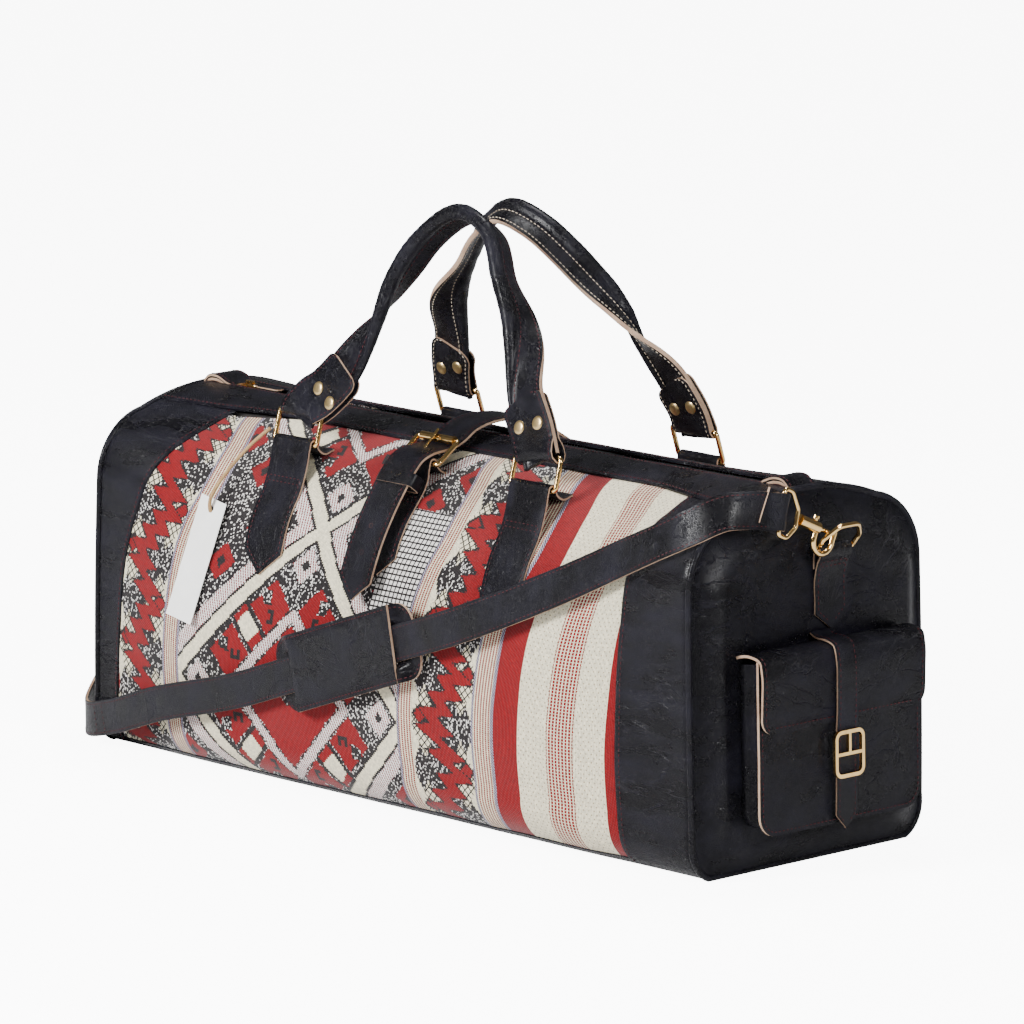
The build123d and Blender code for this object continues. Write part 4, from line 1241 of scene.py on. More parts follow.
    def lining(self) -> None:
        """Thin lining inside the panels, closed at the ends and open along the zip."""
        x = np.linspace(-334, 334, 60)[:, None]
        shapes = []
        for front in (-1, 1):
            v = np.linspace(0.0, 0.955, 60)[None] + 0 * x
            outer, inner = (SKIN.at(x + 0 * v, v, out, front) for out in (-5.0, -6.0))
            shapes.append(plate(outer, inner, None, 0))
        foot = SKIN.at(x, 0 * x, -5.2, -1)
        y = np.linspace(-1, 1, 30)[None]
        floor = np.stack([x + 0 * y, -foot[..., 1] * y, 5.4 + 0 * x * y], axis=-1)
        shapes.append(plate(floor, floor + (0, 0, 0.8), None, 0))
        outline = SKIN.outline(160) * 0.955 + (0, 6.0)
        for side in (-1, 1):
            shapes.append(disc(outline, 12, lambda share, xy: -12.0 + 0 * share, 0.8,
                               EndFrame(side).place, 0))
        make_object("lining_cloth", join(shapes), stock(Finish.LINING), replaces=["lining"])
        dress(Finish.BOARD, "base_board")

    def zip(self) -> None:
        """Tapes, teeth, slider, puller strip and folded end tabs."""
        x = np.linspace(-322, 322, 90)[:, None]
        y = np.linspace(2.6, 18.0, 7)[None]
        shapes = []
        for hand in (-1, 1):
            top = np.stack([x + 0 * y, hand * y + 0 * x, 287.3 - 0.11 * (y - 2.6) + 0 * x], axis=-1)
            shapes.append(plate(top, top - (0, 0, 0.8), None, 0))
        make_object("zip_tapes_woven", join(shapes), stock(Finish.TAPE),
                    replaces=["zip_tapes"])
        pitch, count = 2.7, 238
        start = -320.0 + pitch * np.arange(count)
        block = np.array([[a, b, c] for a in (-0.62, 0.62) for b in (-2.3, 0.95) for c in (-0.9, 0.9)])
        block[:, 0] *= 1 - 0.3 * (block[:, 1] > 0)
        quads = np.array([[0, 1, 3, 2], [4, 6, 7, 5], [0, 4, 5, 1], [2, 3, 7, 6], [0, 2, 6, 4], [1, 5, 7, 3]])
        shapes = []
        for hand in (-1, 1):
            ahead = 0.0 if hand < 0 else pitch / 2
            centre = np.stack([start + ahead, 0 * start, 0 * start + 287.4], axis=1)
            body = centre[:, None] + block[None] * (1, -hand, 1)
            faces = (quads[None] + 8 * np.arange(count)[:, None, None]).reshape(-1, 4).tolist()
            shapes.append(Shape(body.reshape(-1, 3), faces, np.zeros(len(faces), int)))
        make_object("zip_teeth_chain", join(shapes), stock(Finish.TEETH),
                    replaces=["zip_teeth"], smooth=False)
        dress(Finish.BRASS, "zip_slider")
        self.puller()
        self.zip_tabs()

    def puller(self) -> None:
        """Small ring through the slider, and the leather strip sewn on it."""
        ring = rounded_line([(-298.2, 0), (-298.2, 3.4), (-286.4, 3.4), (-286.4, -3.4), (-298.2, -3.4),
                             (-298.2, 0)], 1.8, 5)
        points = np.column_stack([ring, np.full(len(ring), 291.8)])
        track = Track(points, np.tile([0.0, 0, 1], (len(points), 1)))
        make_object("zip_puller_ring", tube(track, 0.85, 8), stock(Finish.BRASS), "zip_puller")
        x = np.linspace(-288.0, -258.3, 24)
        track = Track(np.stack([x, 0 * x, 291.8 + 0.9 * np.exp(-((x + 287) / 3) ** 2)], 1),
                      np.tile([0.0, 0, 1], (24, 1)))
        half = rounded_end(track.s, track.length, 4.0, 3.4)
        make_object("zip_puller_strip", ribbon(track, half, 1.7), stock(*LEATHER_AND_EDGE), "zip_puller",
                    replaces=["zip_puller"])

    def zip_tabs(self) -> None:
        """Folded leather humps over both ends of the zip."""
        shapes, sewing = [], Sewing()
        for side in (-1, 1):
            line = smooth_line([(306, 290.8), (313, 294.0), (323, 297.3), (333, 296.4), (338.6, 291.6)], 30)
            points = np.stack([side * line[:, 0], 0 * line[:, 0], line[:, 1]], axis=1)
            track = Track(points, np.tile([0.0, 0, 1], (30, 1)))
            half = 14.0 - 2.5 * (1 - ease(track.s / 7))
            shapes.append(ribbon(track, half, 2.6))
            sewing.both_sides(track, half, 2.6, 1.4)
            under = Track(points - (0, 0, 3.4), track.face)
            shapes.append(ribbon(under, half - 0.8, 3.6))
        make_object("zip_end_tabs_leather", join(shapes), stock(*LEATHER_AND_EDGE), replaces=["zip_end_tabs"])
        sewing.finish("zip_end_tab_stitching", Finish.THREAD.material, "root")

    def build(self) -> None:
        """Build every panel."""
        for front, name in ((-1, "front"), (1, "rear")):
            self.kilim(front, name)
            self.top_band(front, name)
        for side, name in ((-1, "left"), (1, "right")):
            self.end_bands(side, name)
            self.end(side, name)
        self.base()
        self.lining()
        self.zip()


# ---------------------------------------------------------------- handles and their tabs


def upright_track(x: Union[float, Array], path: Array, front: int) -> Track:
    """Track in a vertical plane across the bag, from (depth, height) points, facing away from the bag."""
    depth, height = np.gradient(path[:, 0]), np.gradient(path[:, 1])
    face = np.stack([0 * depth, front * height, -depth], axis=1)
    points = np.stack([np.broadcast_to(x, depth.shape), front * path[:, 0], path[:, 1]], axis=1)
    return Track(points, unit(face))


def up_the_side(x: float, low: float, high: float, out: float, front: int, count: int = 40) -> Array:
    """(depth, height) points of the skin at x, from one height to another."""
    v = np.linspace(SKIN.v_at(np.array(x), low, 1), SKIN.v_at(np.array(x), high, 1), count)
    points = SKIN.at(np.full(count, x), v, out, front)
    return np.stack([points[:, 1] * front, points[:, 2]], axis=1)


@dataclass
class RingTab:
    """Pointed strip sewn down the side and folded round a bar."""

    name: str
    x: float
    front: int
    bar: tuple[float, float] = (92.0, 275.0)
    half: float = 22.0
    tip_z: float = 172.0
    leave_z: float = 240.0
    thick: float = 2.4

    def build(self) -> None:
        """Build the strip and its stitches."""
        side = up_the_side(self.x, self.tip_z, self.leave_z, self.thick / 2 + 0.1, self.front)
        y, z = self.bar
        loop = np.array([(y + 6.5, z - 13), (y + 3.9, z - 1), (y + 2.4, z + 3.0), (y, z + 3.9),
                         (y - 3.2, z + 2.2), (y - 4.6, z - 3), (y - 11, z - 8.0), (y - 22, z - 6.0)])
        path = smooth_line(np.concatenate([side[::5], loop]), 130)
        track = upright_track(self.x, path, self.front)
        total = track.length
        half = pointed(total - track.s, total, self.half, self.half * 0.85)
        shape = ribbon(track, half, self.thick, 0.25, self.x)
        make_object(self.name + "_leather", shape, stock(*LEATHER_AND_EDGE), replaces=[self.name])
        sewing = Sewing()
        keep = track.s < total - 62
        part = Track(track.points[keep], track.face[keep])
        inner = np.maximum(np.minimum(half[keep] - 3.4, (part.s - 5.0) * 1.17), 0.0)
        start = part.s > 4.0
        for hand in (-1, 1):
            sewing.row(part.beside(hand * inner, self.thick / 2)[start], part.face[start])
        for back in (0.0, 4.5):
            k = int(np.searchsorted(part.s, part.length - back - 1))
            k = min(k, len(part.s) - 1)
            sewing.crossing(part, k, self.half - 3.4, self.thick / 2, 20)
        sewing.finish(self.name + "_stitching", Finish.THREAD.material, "root")


FRONT_ARCH = ((-138, 20), (-134, 29), (-114, 44), (-94, 66), (-80, 93), (-69, 120), (-61, 146), (-40, 179),
              (-1, 203), (33, 192), (57, 156), (73, 132), (90, 102), (110, 66), (128, 42), (141, 20))
REAR_ARCH = ((-139, 20), (-135, 45), (-123, 75), (-102, 118), (-75, 155), (-45, 186), (-13, 203), (20, 194),
             (48, 174), (84, 136), (106, 96), (128, 62), (138, 40), (140, 20))


@dataclass
class Handle:
    """Arched handle: a leather roll with a turning flange, flat straps at both feet, and rivets."""

    name: str
    front: int
    apex: tuple[float, float, float]
    line: tuple
    rivets: tuple
    ring_y: float = 92.0
    ring_z: float = 275.0
    roll: float = 6.4
    strap_half: float = 21.0
    twist: float = math.radians(100)

    def __post_init__(self) -> None:
        """Set up the handle's leaning plane and its centre line."""
        rise = np.array([0.0, self.apex[1] - self.front * self.ring_y, self.apex[2] - self.ring_z])
        self.up = rise / np.linalg.norm(rise)
        self.out = np.array([0.0, -self.up[2], self.up[1]]) * -self.front
        self.centre = smooth_line(self.line, 280)

    def place(self, x: Array, y: Array, out: Union[float, Array]) -> Array:
        """Points in space from places in the handle's plane."""
        x, y, out = np.broadcast_arrays(np.asarray(x, float), np.asarray(y, float), np.asarray(out, float))
        origin = np.array([0.0, self.front * self.ring_y, self.ring_z])
        return origin + x[..., None] * (1.0, 0, 0) + y[..., None] * self.up + out[..., None] * self.out

    def build(self) -> None:
        """Build the arch, the folded feet and the rivets.

        The section is a roll with a flange. At the feet the flange lies flat in the handle's plane, with the
        roll at its inner edge; going up, it turns about the roll until it points at the bag's middle.
        """
        body = self.name + "_handle"
        height = self.centre[:, 1]
        track = Track(self.place(self.centre[:, 0], height, 0.0), np.tile(self.out, (len(height), 1)))
        outer = track.across * -self.front
        risen = ease((height - 50) / 84)[:, None]
        turn = self.twist * ease((height - 62) / 104)[:, None]
        roll = 2.4 + (self.roll - 2.4) * risen
        reach = 35.0 - 12.0 * risen

        def spot(t: Array, w: Array) -> Array:
            """Points from t, the way along the flange from the roll's middle, and w, the height off it."""
            across = t * np.cos(turn) + w * np.sin(turn) - 15.0 * (1 - risen)
            away = w * np.cos(turn) - t * np.sin(turn)
            return (track.points[:, None] + across[..., None] * outer[:, None]
                    + away[..., None] * track.face[:, None])

        angle = np.radians(np.linspace(28, 332, 15))[None]
        share = np.array([0.32, 0.5, 0.7, 0.88, 0.985, 1.0])[None]
        thick = np.array([2.2, 2.2, 2.2, 2.2, 2.0, 0.8])[None] + 0 * risen
        t = np.concatenate([reach * share[:, ::-1], roll * np.cos(angle), reach * share], axis=1)
        w = np.concatenate([thick[:, ::-1], roll * np.sin(angle), -thick], axis=1)
        grid = spot(t, w)
        crinkle = ripple(grid, 15.0, 4.0 + self.front) + 0.6 * ripple(grid, 7.0, 9.0 + self.front)
        swell = 1 + 0.05 * crinkle * ease((roll * 1.2 - t) / 4) * risen
        grid = spot(t * swell, w * swell)[:, ::self.front]
        n, k = grid.shape[:2]
        faces = grid_faces(n, k, wrap_cols=True)
        tone = np.tile(np.isin(np.arange(k), (0, k - 1, k - 2)).astype(int), n - 1)
        caps = [list(range(k))[::-1], list(range((n - 1) * k, n * k))]
        arch = Shape(grid.reshape(-1, 3), faces.tolist() + caps, np.concatenate([tone, [0, 0]]))
        make_object(body + "_leather", arch, stock(Finish.HANDLE_LEATHER, Finish.CUT_EDGE), body,
                    replaces=[body], crease=60)
        sewing = Sewing(pitch=4.0)
        for hand in (-1, 1):
            normal = hand * (np.cos(turn) * track.face + np.sin(turn) * outer)
            for t_row in (roll + 2.4, reach - 3.2):
                sewing.row(spot(t_row, hand * 2.25 + 0 * t_row)[24:-24, 0], normal[24:-24])
        self.feet(body, sewing)
        thread = Finish.THREAD if self.front < 0 else Finish.PALE_THREAD
        sewing.finish(body + "_stitching", thread.material, body)
        self.caps(body)

    def feet(self, body: str, sewing: Sewing) -> None:
        """Strip folded round each ring, up both faces of the handle."""
        shapes = []
        for side in (-1, 1):
            leg = self.centre[:56] if side < 0 else self.centre[::-1][:56]
            tall = np.array([66.0, 60, 50, 40, 33, 28, 25.0])
            deep = np.array([3.3, 3.3, 3.3, 3.4, 3.7, 3.9, 3.2])
            turn = [(22.6, 1.6), (22.2, 0.0), (22.6, -1.6)]
            path = np.concatenate([np.stack([tall, deep], 1), turn, np.stack([tall, -deep], 1)[::-1]])
            path = smooth_line(path, 90)
            x = np.interp(path[:, 0], leg[:, 1], leg[:, 0])
            points = self.place(x, path[:, 0], path[:, 1])
            dy, dn = np.gradient(path[:, 0]), np.gradient(path[:, 1])
            face = -dy[:, None] * self.out + dn[:, None] * self.up
            track = Track(points, face)
            half = np.minimum(rounded_end(track.s, track.length, self.strap_half, 9.0),
                              rounded_end(track.length - track.s, track.length, self.strap_half, 7.0))
            shapes.append(ribbon(track, half, 2.2, 0.15, side))
            sewing.both_sides(track, half, 3.0, 1.12)
        make_object(body + "_feet", join(shapes), stock(Finish.HANDLE_LEATHER, Finish.CUT_EDGE), body)

    def caps(self, body: str) -> None:
        """Domed rivet caps on both faces."""
        shapes = []
        for x, y in self.rivets:
            for hand in (-1, 1):
                angle = np.linspace(0, 2 * np.pi, 28, endpoint=False)
                outline = 5.5 * np.stack([np.cos(angle), np.sin(angle)], axis=1)

                def place(px: Array, py: Array, high: Array) -> Array:
                    """Points on the handle's face round this rivet."""
                    return self.place(px + x, py + y, hand * (4.4 + high))

                shapes.append(disc(outline, 8, lambda r, xy: 0.25 + 1.25 * np.sqrt(np.maximum(1 - r**2.6, 0)),
                                   1.5, place, 0))
        make_object(self.name + "_handle_rivet_caps", join(shapes), stock(Finish.ANTIQUE), body,
                    replaces=[self.name + "_handle_rivets"])


@dataclass
class Closure:
    """Strap over the zip with its chape, keeper and roller buckle."""

    x: float = -4.0
    half: float = 18.0
    path: tuple = ((108, 241), (97, 255), (80, 268.5), (60, 281), (43, 291), (26, 299), (0, 302.5),
                   (-20, 301.6), (-36, 297.5), (-48, 290.5), (-57, 287.0), (-70, 285.2), (-82, 284.0),
                   (-92, 280.5), (-101, 271.5), (-110, 257.5), (-119, 241.0), (-128.5, 220), (-136, 199),
                   (-141, 182), (-143, 171))

    def build(self) -> None:
        """Build the strap, its chape and keeper, and dress the buckle."""
        line = smooth_line(self.path, 190)
        x = self.x - 13.0 * ease((-line[:, 0] - 88) / 70)
        points = np.stack([x, line[:, 0], line[:, 1]], axis=1)
        dy, dz = np.gradient(line[:, 0]), np.gradient(line[:, 1])
        track = Track(points, np.stack([0 * dy, dz, -dy], axis=1))
        half = pointed(track.s, track.length, self.half, 16.0)
        make_object("closure_strap_leather", ribbon(track, half, 3.0, 0.2, 3.0), stock(*LEATHER_AND_EDGE),
                    replaces=["closure_strap"])
        sewing = Sewing()
        keep = track.s < track.length - 4
        inner = np.minimum(half - 3.2, np.maximum(track.length - 4 - track.s, 0) * 1.05)
        for hand in (-1, 1):
            sewing.row(track.beside(hand * np.maximum(inner, 0), 1.5)[keep], track.face[keep])
        sewing.finish("closure_strap_stitching", Finish.THREAD.material, "root")
        self.holes(track)
        chape = RingTab("closure_chape", self.x, -1, (82.0, 276.0), self.half, 190.0, 246.0, 2.2)
        chape.build()
        self.keeper()
        dress(Finish.BRASS, "closure_buckle_frame", "closure_roller", "closure_prong")

    def holes(self, track: Track) -> None:
        """Punched holes below the buckle, as dark sunk discs with a turned lip."""
        shapes = []
        angle = np.linspace(0, 2 * np.pi, 20, endpoint=False)
        outline = 2.1 * np.stack([np.cos(angle), np.sin(angle)], axis=1)
        for s in (track.length - 62.0, track.length - 40.0):
            k = int(np.searchsorted(track.s, s))
            p, a, b, n = track.points[k], track.across[k], track.along[k], track.face[k]

            def place(px: Array, py: Array, high: Array) -> Array:
                """Points on the strap's face round this hole."""
                px, py, high = np.broadcast_arrays(px, py, high)
                return p + px[..., None] * a + py[..., None] * b + (high[..., None] + 1.5) * n

            shapes.append(disc(outline, 5, lambda r, xy: 0.12 - 0.5 * ease((0.85 - r) / 0.3), 0.3, place, 0))
        make_object("closure_strap_holes", join(shapes), stock(Finish.DARK_EDGE))

    def keeper(self) -> None:
        """Leather loop that holds the strap down."""
        axis = unit(np.array([0.0, 30.0, 39.6]))
        across = np.array([1.0, 0, 0])
        out = np.cross(across, axis) * -1
        out = out if out[1] < 0 else -out
        loop = rounded_line([(0, 6.4), (19.8, 6.4), (19.8, -6.2), (-19.8, -6.2), (-19.8, 6.4), (0, 6.4)],
                            3.4, 5)[:-1]
        middle = np.array([self.x - 1.0, -103.9, 258.3]) + axis * 5.5
        centre = middle + loop[:, :1] * across + loop[:, 1:] * out
        ahead = unit(np.roll(centre, -1, axis=0) - np.roll(centre, 1, axis=0))
        normal = unit(np.cross(ahead, axis))
        normal = normal * np.sign(np.sum(normal * (centre - middle), axis=1))[:, None]
        section = np.array([(-5.5, 0.5), (-5.1, 1.0), (0, 1.1), (5.1, 1.0), (5.5, 0.5), (5.5, -0.6), (0, -1.0),
                            (-5.5, -0.6)])
        grid = centre[:, None] + section[None, :, :1] * axis + section[None, :, 1:] * normal[:, None]
        n, k = grid.shape[:2]
        faces = grid_faces(n, k, True, True)
        tone = np.tile(np.isin(np.arange(k), (4, 7)).astype(int), n)
        shape = Shape(grid.reshape(-1, 3), faces.tolist(), tone)
        make_object("closure_keeper_loop", shape, stock(*LEATHER_AND_EDGE), replaces=["closure_keeper"])


# ---------------------------------------------------------------- ends: pockets, D-rings


@dataclass
class EndPocket:
    """Flap pocket on one end, with its strap, and the tab that holds the D-ring."""

    side: int
    name: str
    base: float = 17.3
    half: float = 88.0
    bottom: float = 35.0
    top: float = 172.0
    depth: float = 24.0
    flap_drop: float = 115.0
    strap_half: float = 11.0
    tab_y: float = 12.0
    tab_half: float = 17.0
    fold_z: float = 243.5

    def __post_init__(self) -> None:
        """Frame of this end."""
        self.frame = EndFrame(self.side)

    def track(self, y: Union[float, Array], path: Array) -> Track:
        """Track from (up, out) points at a given y, facing away from the bag where it runs down the front."""
        up, out = np.gradient(path[:, 0]), np.gradient(path[:, 1])
        points = self.frame.place(np.broadcast_to(y, up.shape), path[:, 0], path[:, 1])
        origin = self.frame.place(0, 0, 0)
        normal = self.frame.place(0, 0, 1) - origin
        upward = self.frame.place(0, 1, 0) - origin
        return Track(points, unit(-up[:, None] * normal + out[:, None] * upward))

    def rounded(self, radius: float, inset: float, count: int = 15) -> Array:
        """Outline of the pocket's front: square above, round corners below."""
        half, low, high = self.half - inset, self.bottom + inset, self.top - 0.5
        t = np.linspace(0, np.pi / 2, count)
        right = np.stack([half - radius + radius * np.sin(t), low + radius - radius * np.cos(t)], axis=1)
        edge = np.stack([np.full(30, half), np.linspace(low + radius, high, 32)[1:-1]], axis=1)
        half_loop = np.concatenate([[(0.0, low)], right, edge, [(half, high)]])
        loop = np.concatenate([half_loop, half_loop[::-1][:-1] * (-1, 1)])
        closed = np.concatenate([loop, loop[:1]])
        return at_lengths(closed, np.linspace(0, lengths(closed)[-1], 181))[:-1]

    def ordered(self, points: Array) -> Array:
        """Points of the outline in order, from one upper corner round the bottom to the other."""
        return points[np.argsort(np.arctan2(points[:, 0], -(points[:, 1] - self.top)))]

    def build(self) -> None:
        """Build the pocket, its flap and strap, and the D-ring's tab."""
        sewing = Sewing()
        self.front(sewing)
        self.gusset()
        self.flap(sewing)
        self.strap(sewing)
        self.ring_tab(sewing)
        sewing.finish(self.name + "_end_stitching", Finish.THREAD.material, "root")
        dress(Finish.BRASS, self.name + "_pocket_buckle", self.name + "_d_ring", self.name + "_snap_hook",
              self.name + "_hook_bolt", self.name + "_strap_eye")

    def front(self, sewing: Sewing) -> None:
        """Pocket front: a rounded plate that swells a little."""
        outline = self.rounded(17.0, 0.0)

        def lift(share: Array, xy: Array) -> Array:
            """Height: fuller in the middle, with a soft dent or two."""
            points = np.stack([xy[..., 0], xy[..., 1], 0 * xy[..., 0]], axis=-1)
            return self.base + 22.4 + 1.2 * ease((1 - share) / 0.5) + 0.35 * ripple(points, 60.0, 7.0)

        make_object(self.name + "_pocket_front_leather", disc(outline, 26, lift, 2.3, self.frame.place),
                    stock(Finish.END_LEATHER, Finish.CUT_EDGE), replaces=[self.name + "_pocket_front"])
        inner = self.rounded(14.0, 3.2)
        lower = self.ordered(inner[inner[:, 1] < self.flap_drop + 6])
        line = self.frame.place(lower[:, 0], lower[:, 1], self.base + 22.55)
        sewing.row(line, self.frame.normal(len(line)))

    def gusset(self) -> None:
        """Gusset round the pocket's sides and bottom, folded in along its middle."""
        loop = self.rounded(15.0, 4.2)
        inner = self.ordered(loop[loop[:, 1] < self.top - 3])
        t = np.linspace(0, 1, 13)
        tangent = unit(np.gradient(inner, axis=0))
        outward = np.stack([tangent[:, 1], -tangent[:, 0]], axis=1)
        outward = outward * np.sign(np.sum(outward * (inner - (0, 110)), axis=1))[:, None]
        fold = -4.5 * np.sin(np.pi * t) ** 2 + 1.2 * np.sin(2 * np.pi * t) ** 2
        out = self.base - 0.2 + 22.0 * t

        def sheet(shift: float) -> Array:
            """Grid of the gusset, moved outwards."""
            xy = inner[:, None] + outward[:, None] * (fold + shift)[None, :, None]
            return self.frame.place(xy[..., 0], xy[..., 1], out[None])

        make_object(self.name + "_pocket_gusset_leather", plate(sheet(0.9), sheet(-1.1), None, 0),
                    stock(Finish.BODY_LEATHER), replaces=[self.name + "_pocket_gusset"])

    def flap(self, sewing: Sewing) -> None:
        """Flap over the pocket, with rounded lower corners."""
        b, f = self.base, self.depth + 1.5
        path = smooth_line([(self.top + 0.6, b - 0.5), (self.top + 2.4, b + 6), (self.top + 2.6, b + 16),
                            (self.top - 0.6, b + f - 0.8), (self.top - 8, b + f + 1.0),
                            (self.top - 30, b + f + 1.2), (self.flap_drop + 8, b + f + 0.3),
                            (self.flap_drop, b + f - 0.2)], 90)
        track = self.track(0.0, path)
        half = rounded_end(track.s, track.length, self.half + 1.0, 13.0)
        fine = np.linspace(-1, 1, 61)
        edge = np.array([0.9, 1.1])

        def sheet(out: float, inset: float) -> Array:
            """Grid of one face of the flap."""
            wide = (half - inset)[:, None] * fine
            points = (track.points[:, None] + wide[..., None] * track.across[:, None]
                      + out * track.face[:, None])
            sag = 0.5 * ripple(points, 85.0, 3.0 + self.side)
            return points + sag[..., None] * track.face[:, None]

        shape = plate(sheet(edge[1], 0.0), sheet(-edge[1], 0.2))
        make_object(self.name + "_pocket_flap_leather", shape, stock(Finish.END_LEATHER, Finish.CUT_EDGE),
                    replaces=[self.name + "_pocket_flap"])
        start = 24
        for hand in (-1, 1):
            sewing.beside_part(track, hand * (half - 3.6), 1.25, start, -3)
        across = np.linspace(-1, 1, 60)[:, None] * (self.half - 13.0) * track.across[-4]
        line = track.points[-6] + track.face[-6] * 1.25 + across
        sewing.row(line, np.tile(track.face[-6], (60, 1)))

    def strap(self, sewing: Sewing) -> None:
        """Strap from the panel over the flap and down to its point."""
        b = self.base
        path = smooth_line([(self.top + 9, b + 1.2), (self.top + 6.2, b + 7), (self.top + 5.4, b + 18),
                            (self.top + 2.2, b + 26.4), (self.top - 7, b + 29.2), (self.top - 30, b + 30.0),
                            (118, b + 29.4), (108, b + 28.8), (90, b + 28.2), (70, b + 28.0), (50, b + 27.6),
                            (31, b + 26.8)], 120)
        track = self.track(0.0, path)
        half = pointed(track.s, track.length, self.strap_half, 11.0)
        make_object(self.name + "_pocket_strap_leather", ribbon(track, half, 2.4, 0.2, 2.0),
                    stock(*LEATHER_AND_EDGE), replaces=[self.name + "_pocket_strap"])
        for hand in (-1, 1):
            sewing.beside_part(track, hand * np.maximum(half - 2.6, 0.0), 1.25, 2, -4)

    def ring_tab(self, sewing: Sewing) -> None:
        """Pointed tab folded round the D-ring's bar."""
        b, z = self.base, self.fold_z
        path = smooth_line([(z - 62, b + 1.1), (z - 40, b + 1.2), (z - 20, b + 1.6), (z - 9, b + 4.6),
                            (z - 3, b + 7.6), (z + 1.6, b + 7.7), (z + 3.8, b + 4.8), (z + 2.4, b + 1.9),
                            (z - 3, b + 0.9), (z - 14, b + 0.4)], 110)
        track = self.track(self.tab_y, path)
        track = Track(track.points, -track.face)
        half = pointed(track.length - track.s, track.length, self.tab_half, 13.0)
        make_object(self.name + "_d_ring_tab_leather", ribbon(track, half, 2.2, 0.15, 4.0),
                    stock(*LEATHER_AND_EDGE), replaces=[self.name + "_d_ring_tab"])
        stop = int(np.searchsorted(track.s, 56))
        inner = np.maximum(np.minimum(half - 3.0, (track.s - 4.0) * 1.25), 0.0)
        for hand in (-1, 1):
            sewing.beside_part(track, hand * inner, 1.15, 8, stop)
        for s in (50.0, 54.0):
            k = int(np.searchsorted(track.s, s))
            sewing.crossing(track, k, self.tab_half - 3.0, 1.15)


# ---------------------------------------------------------------- shoulder strap


@dataclass(frozen=True)
class Hook:
    """Where a snap hook's eye holds the strap."""

    origin: tuple[float, float, float]
    axis: tuple[float, float, float]
    eye: tuple[float, float, float]

    def bar(self) -> tuple[Array, Array, Array]:
        """Middle of the eye's bar, direction from the hook to the strap, and direction of the bar."""
        axis = unit(np.array(self.axis))
        return np.array(self.origin) - 16.0 * axis, -axis, unit(np.array(self.eye))


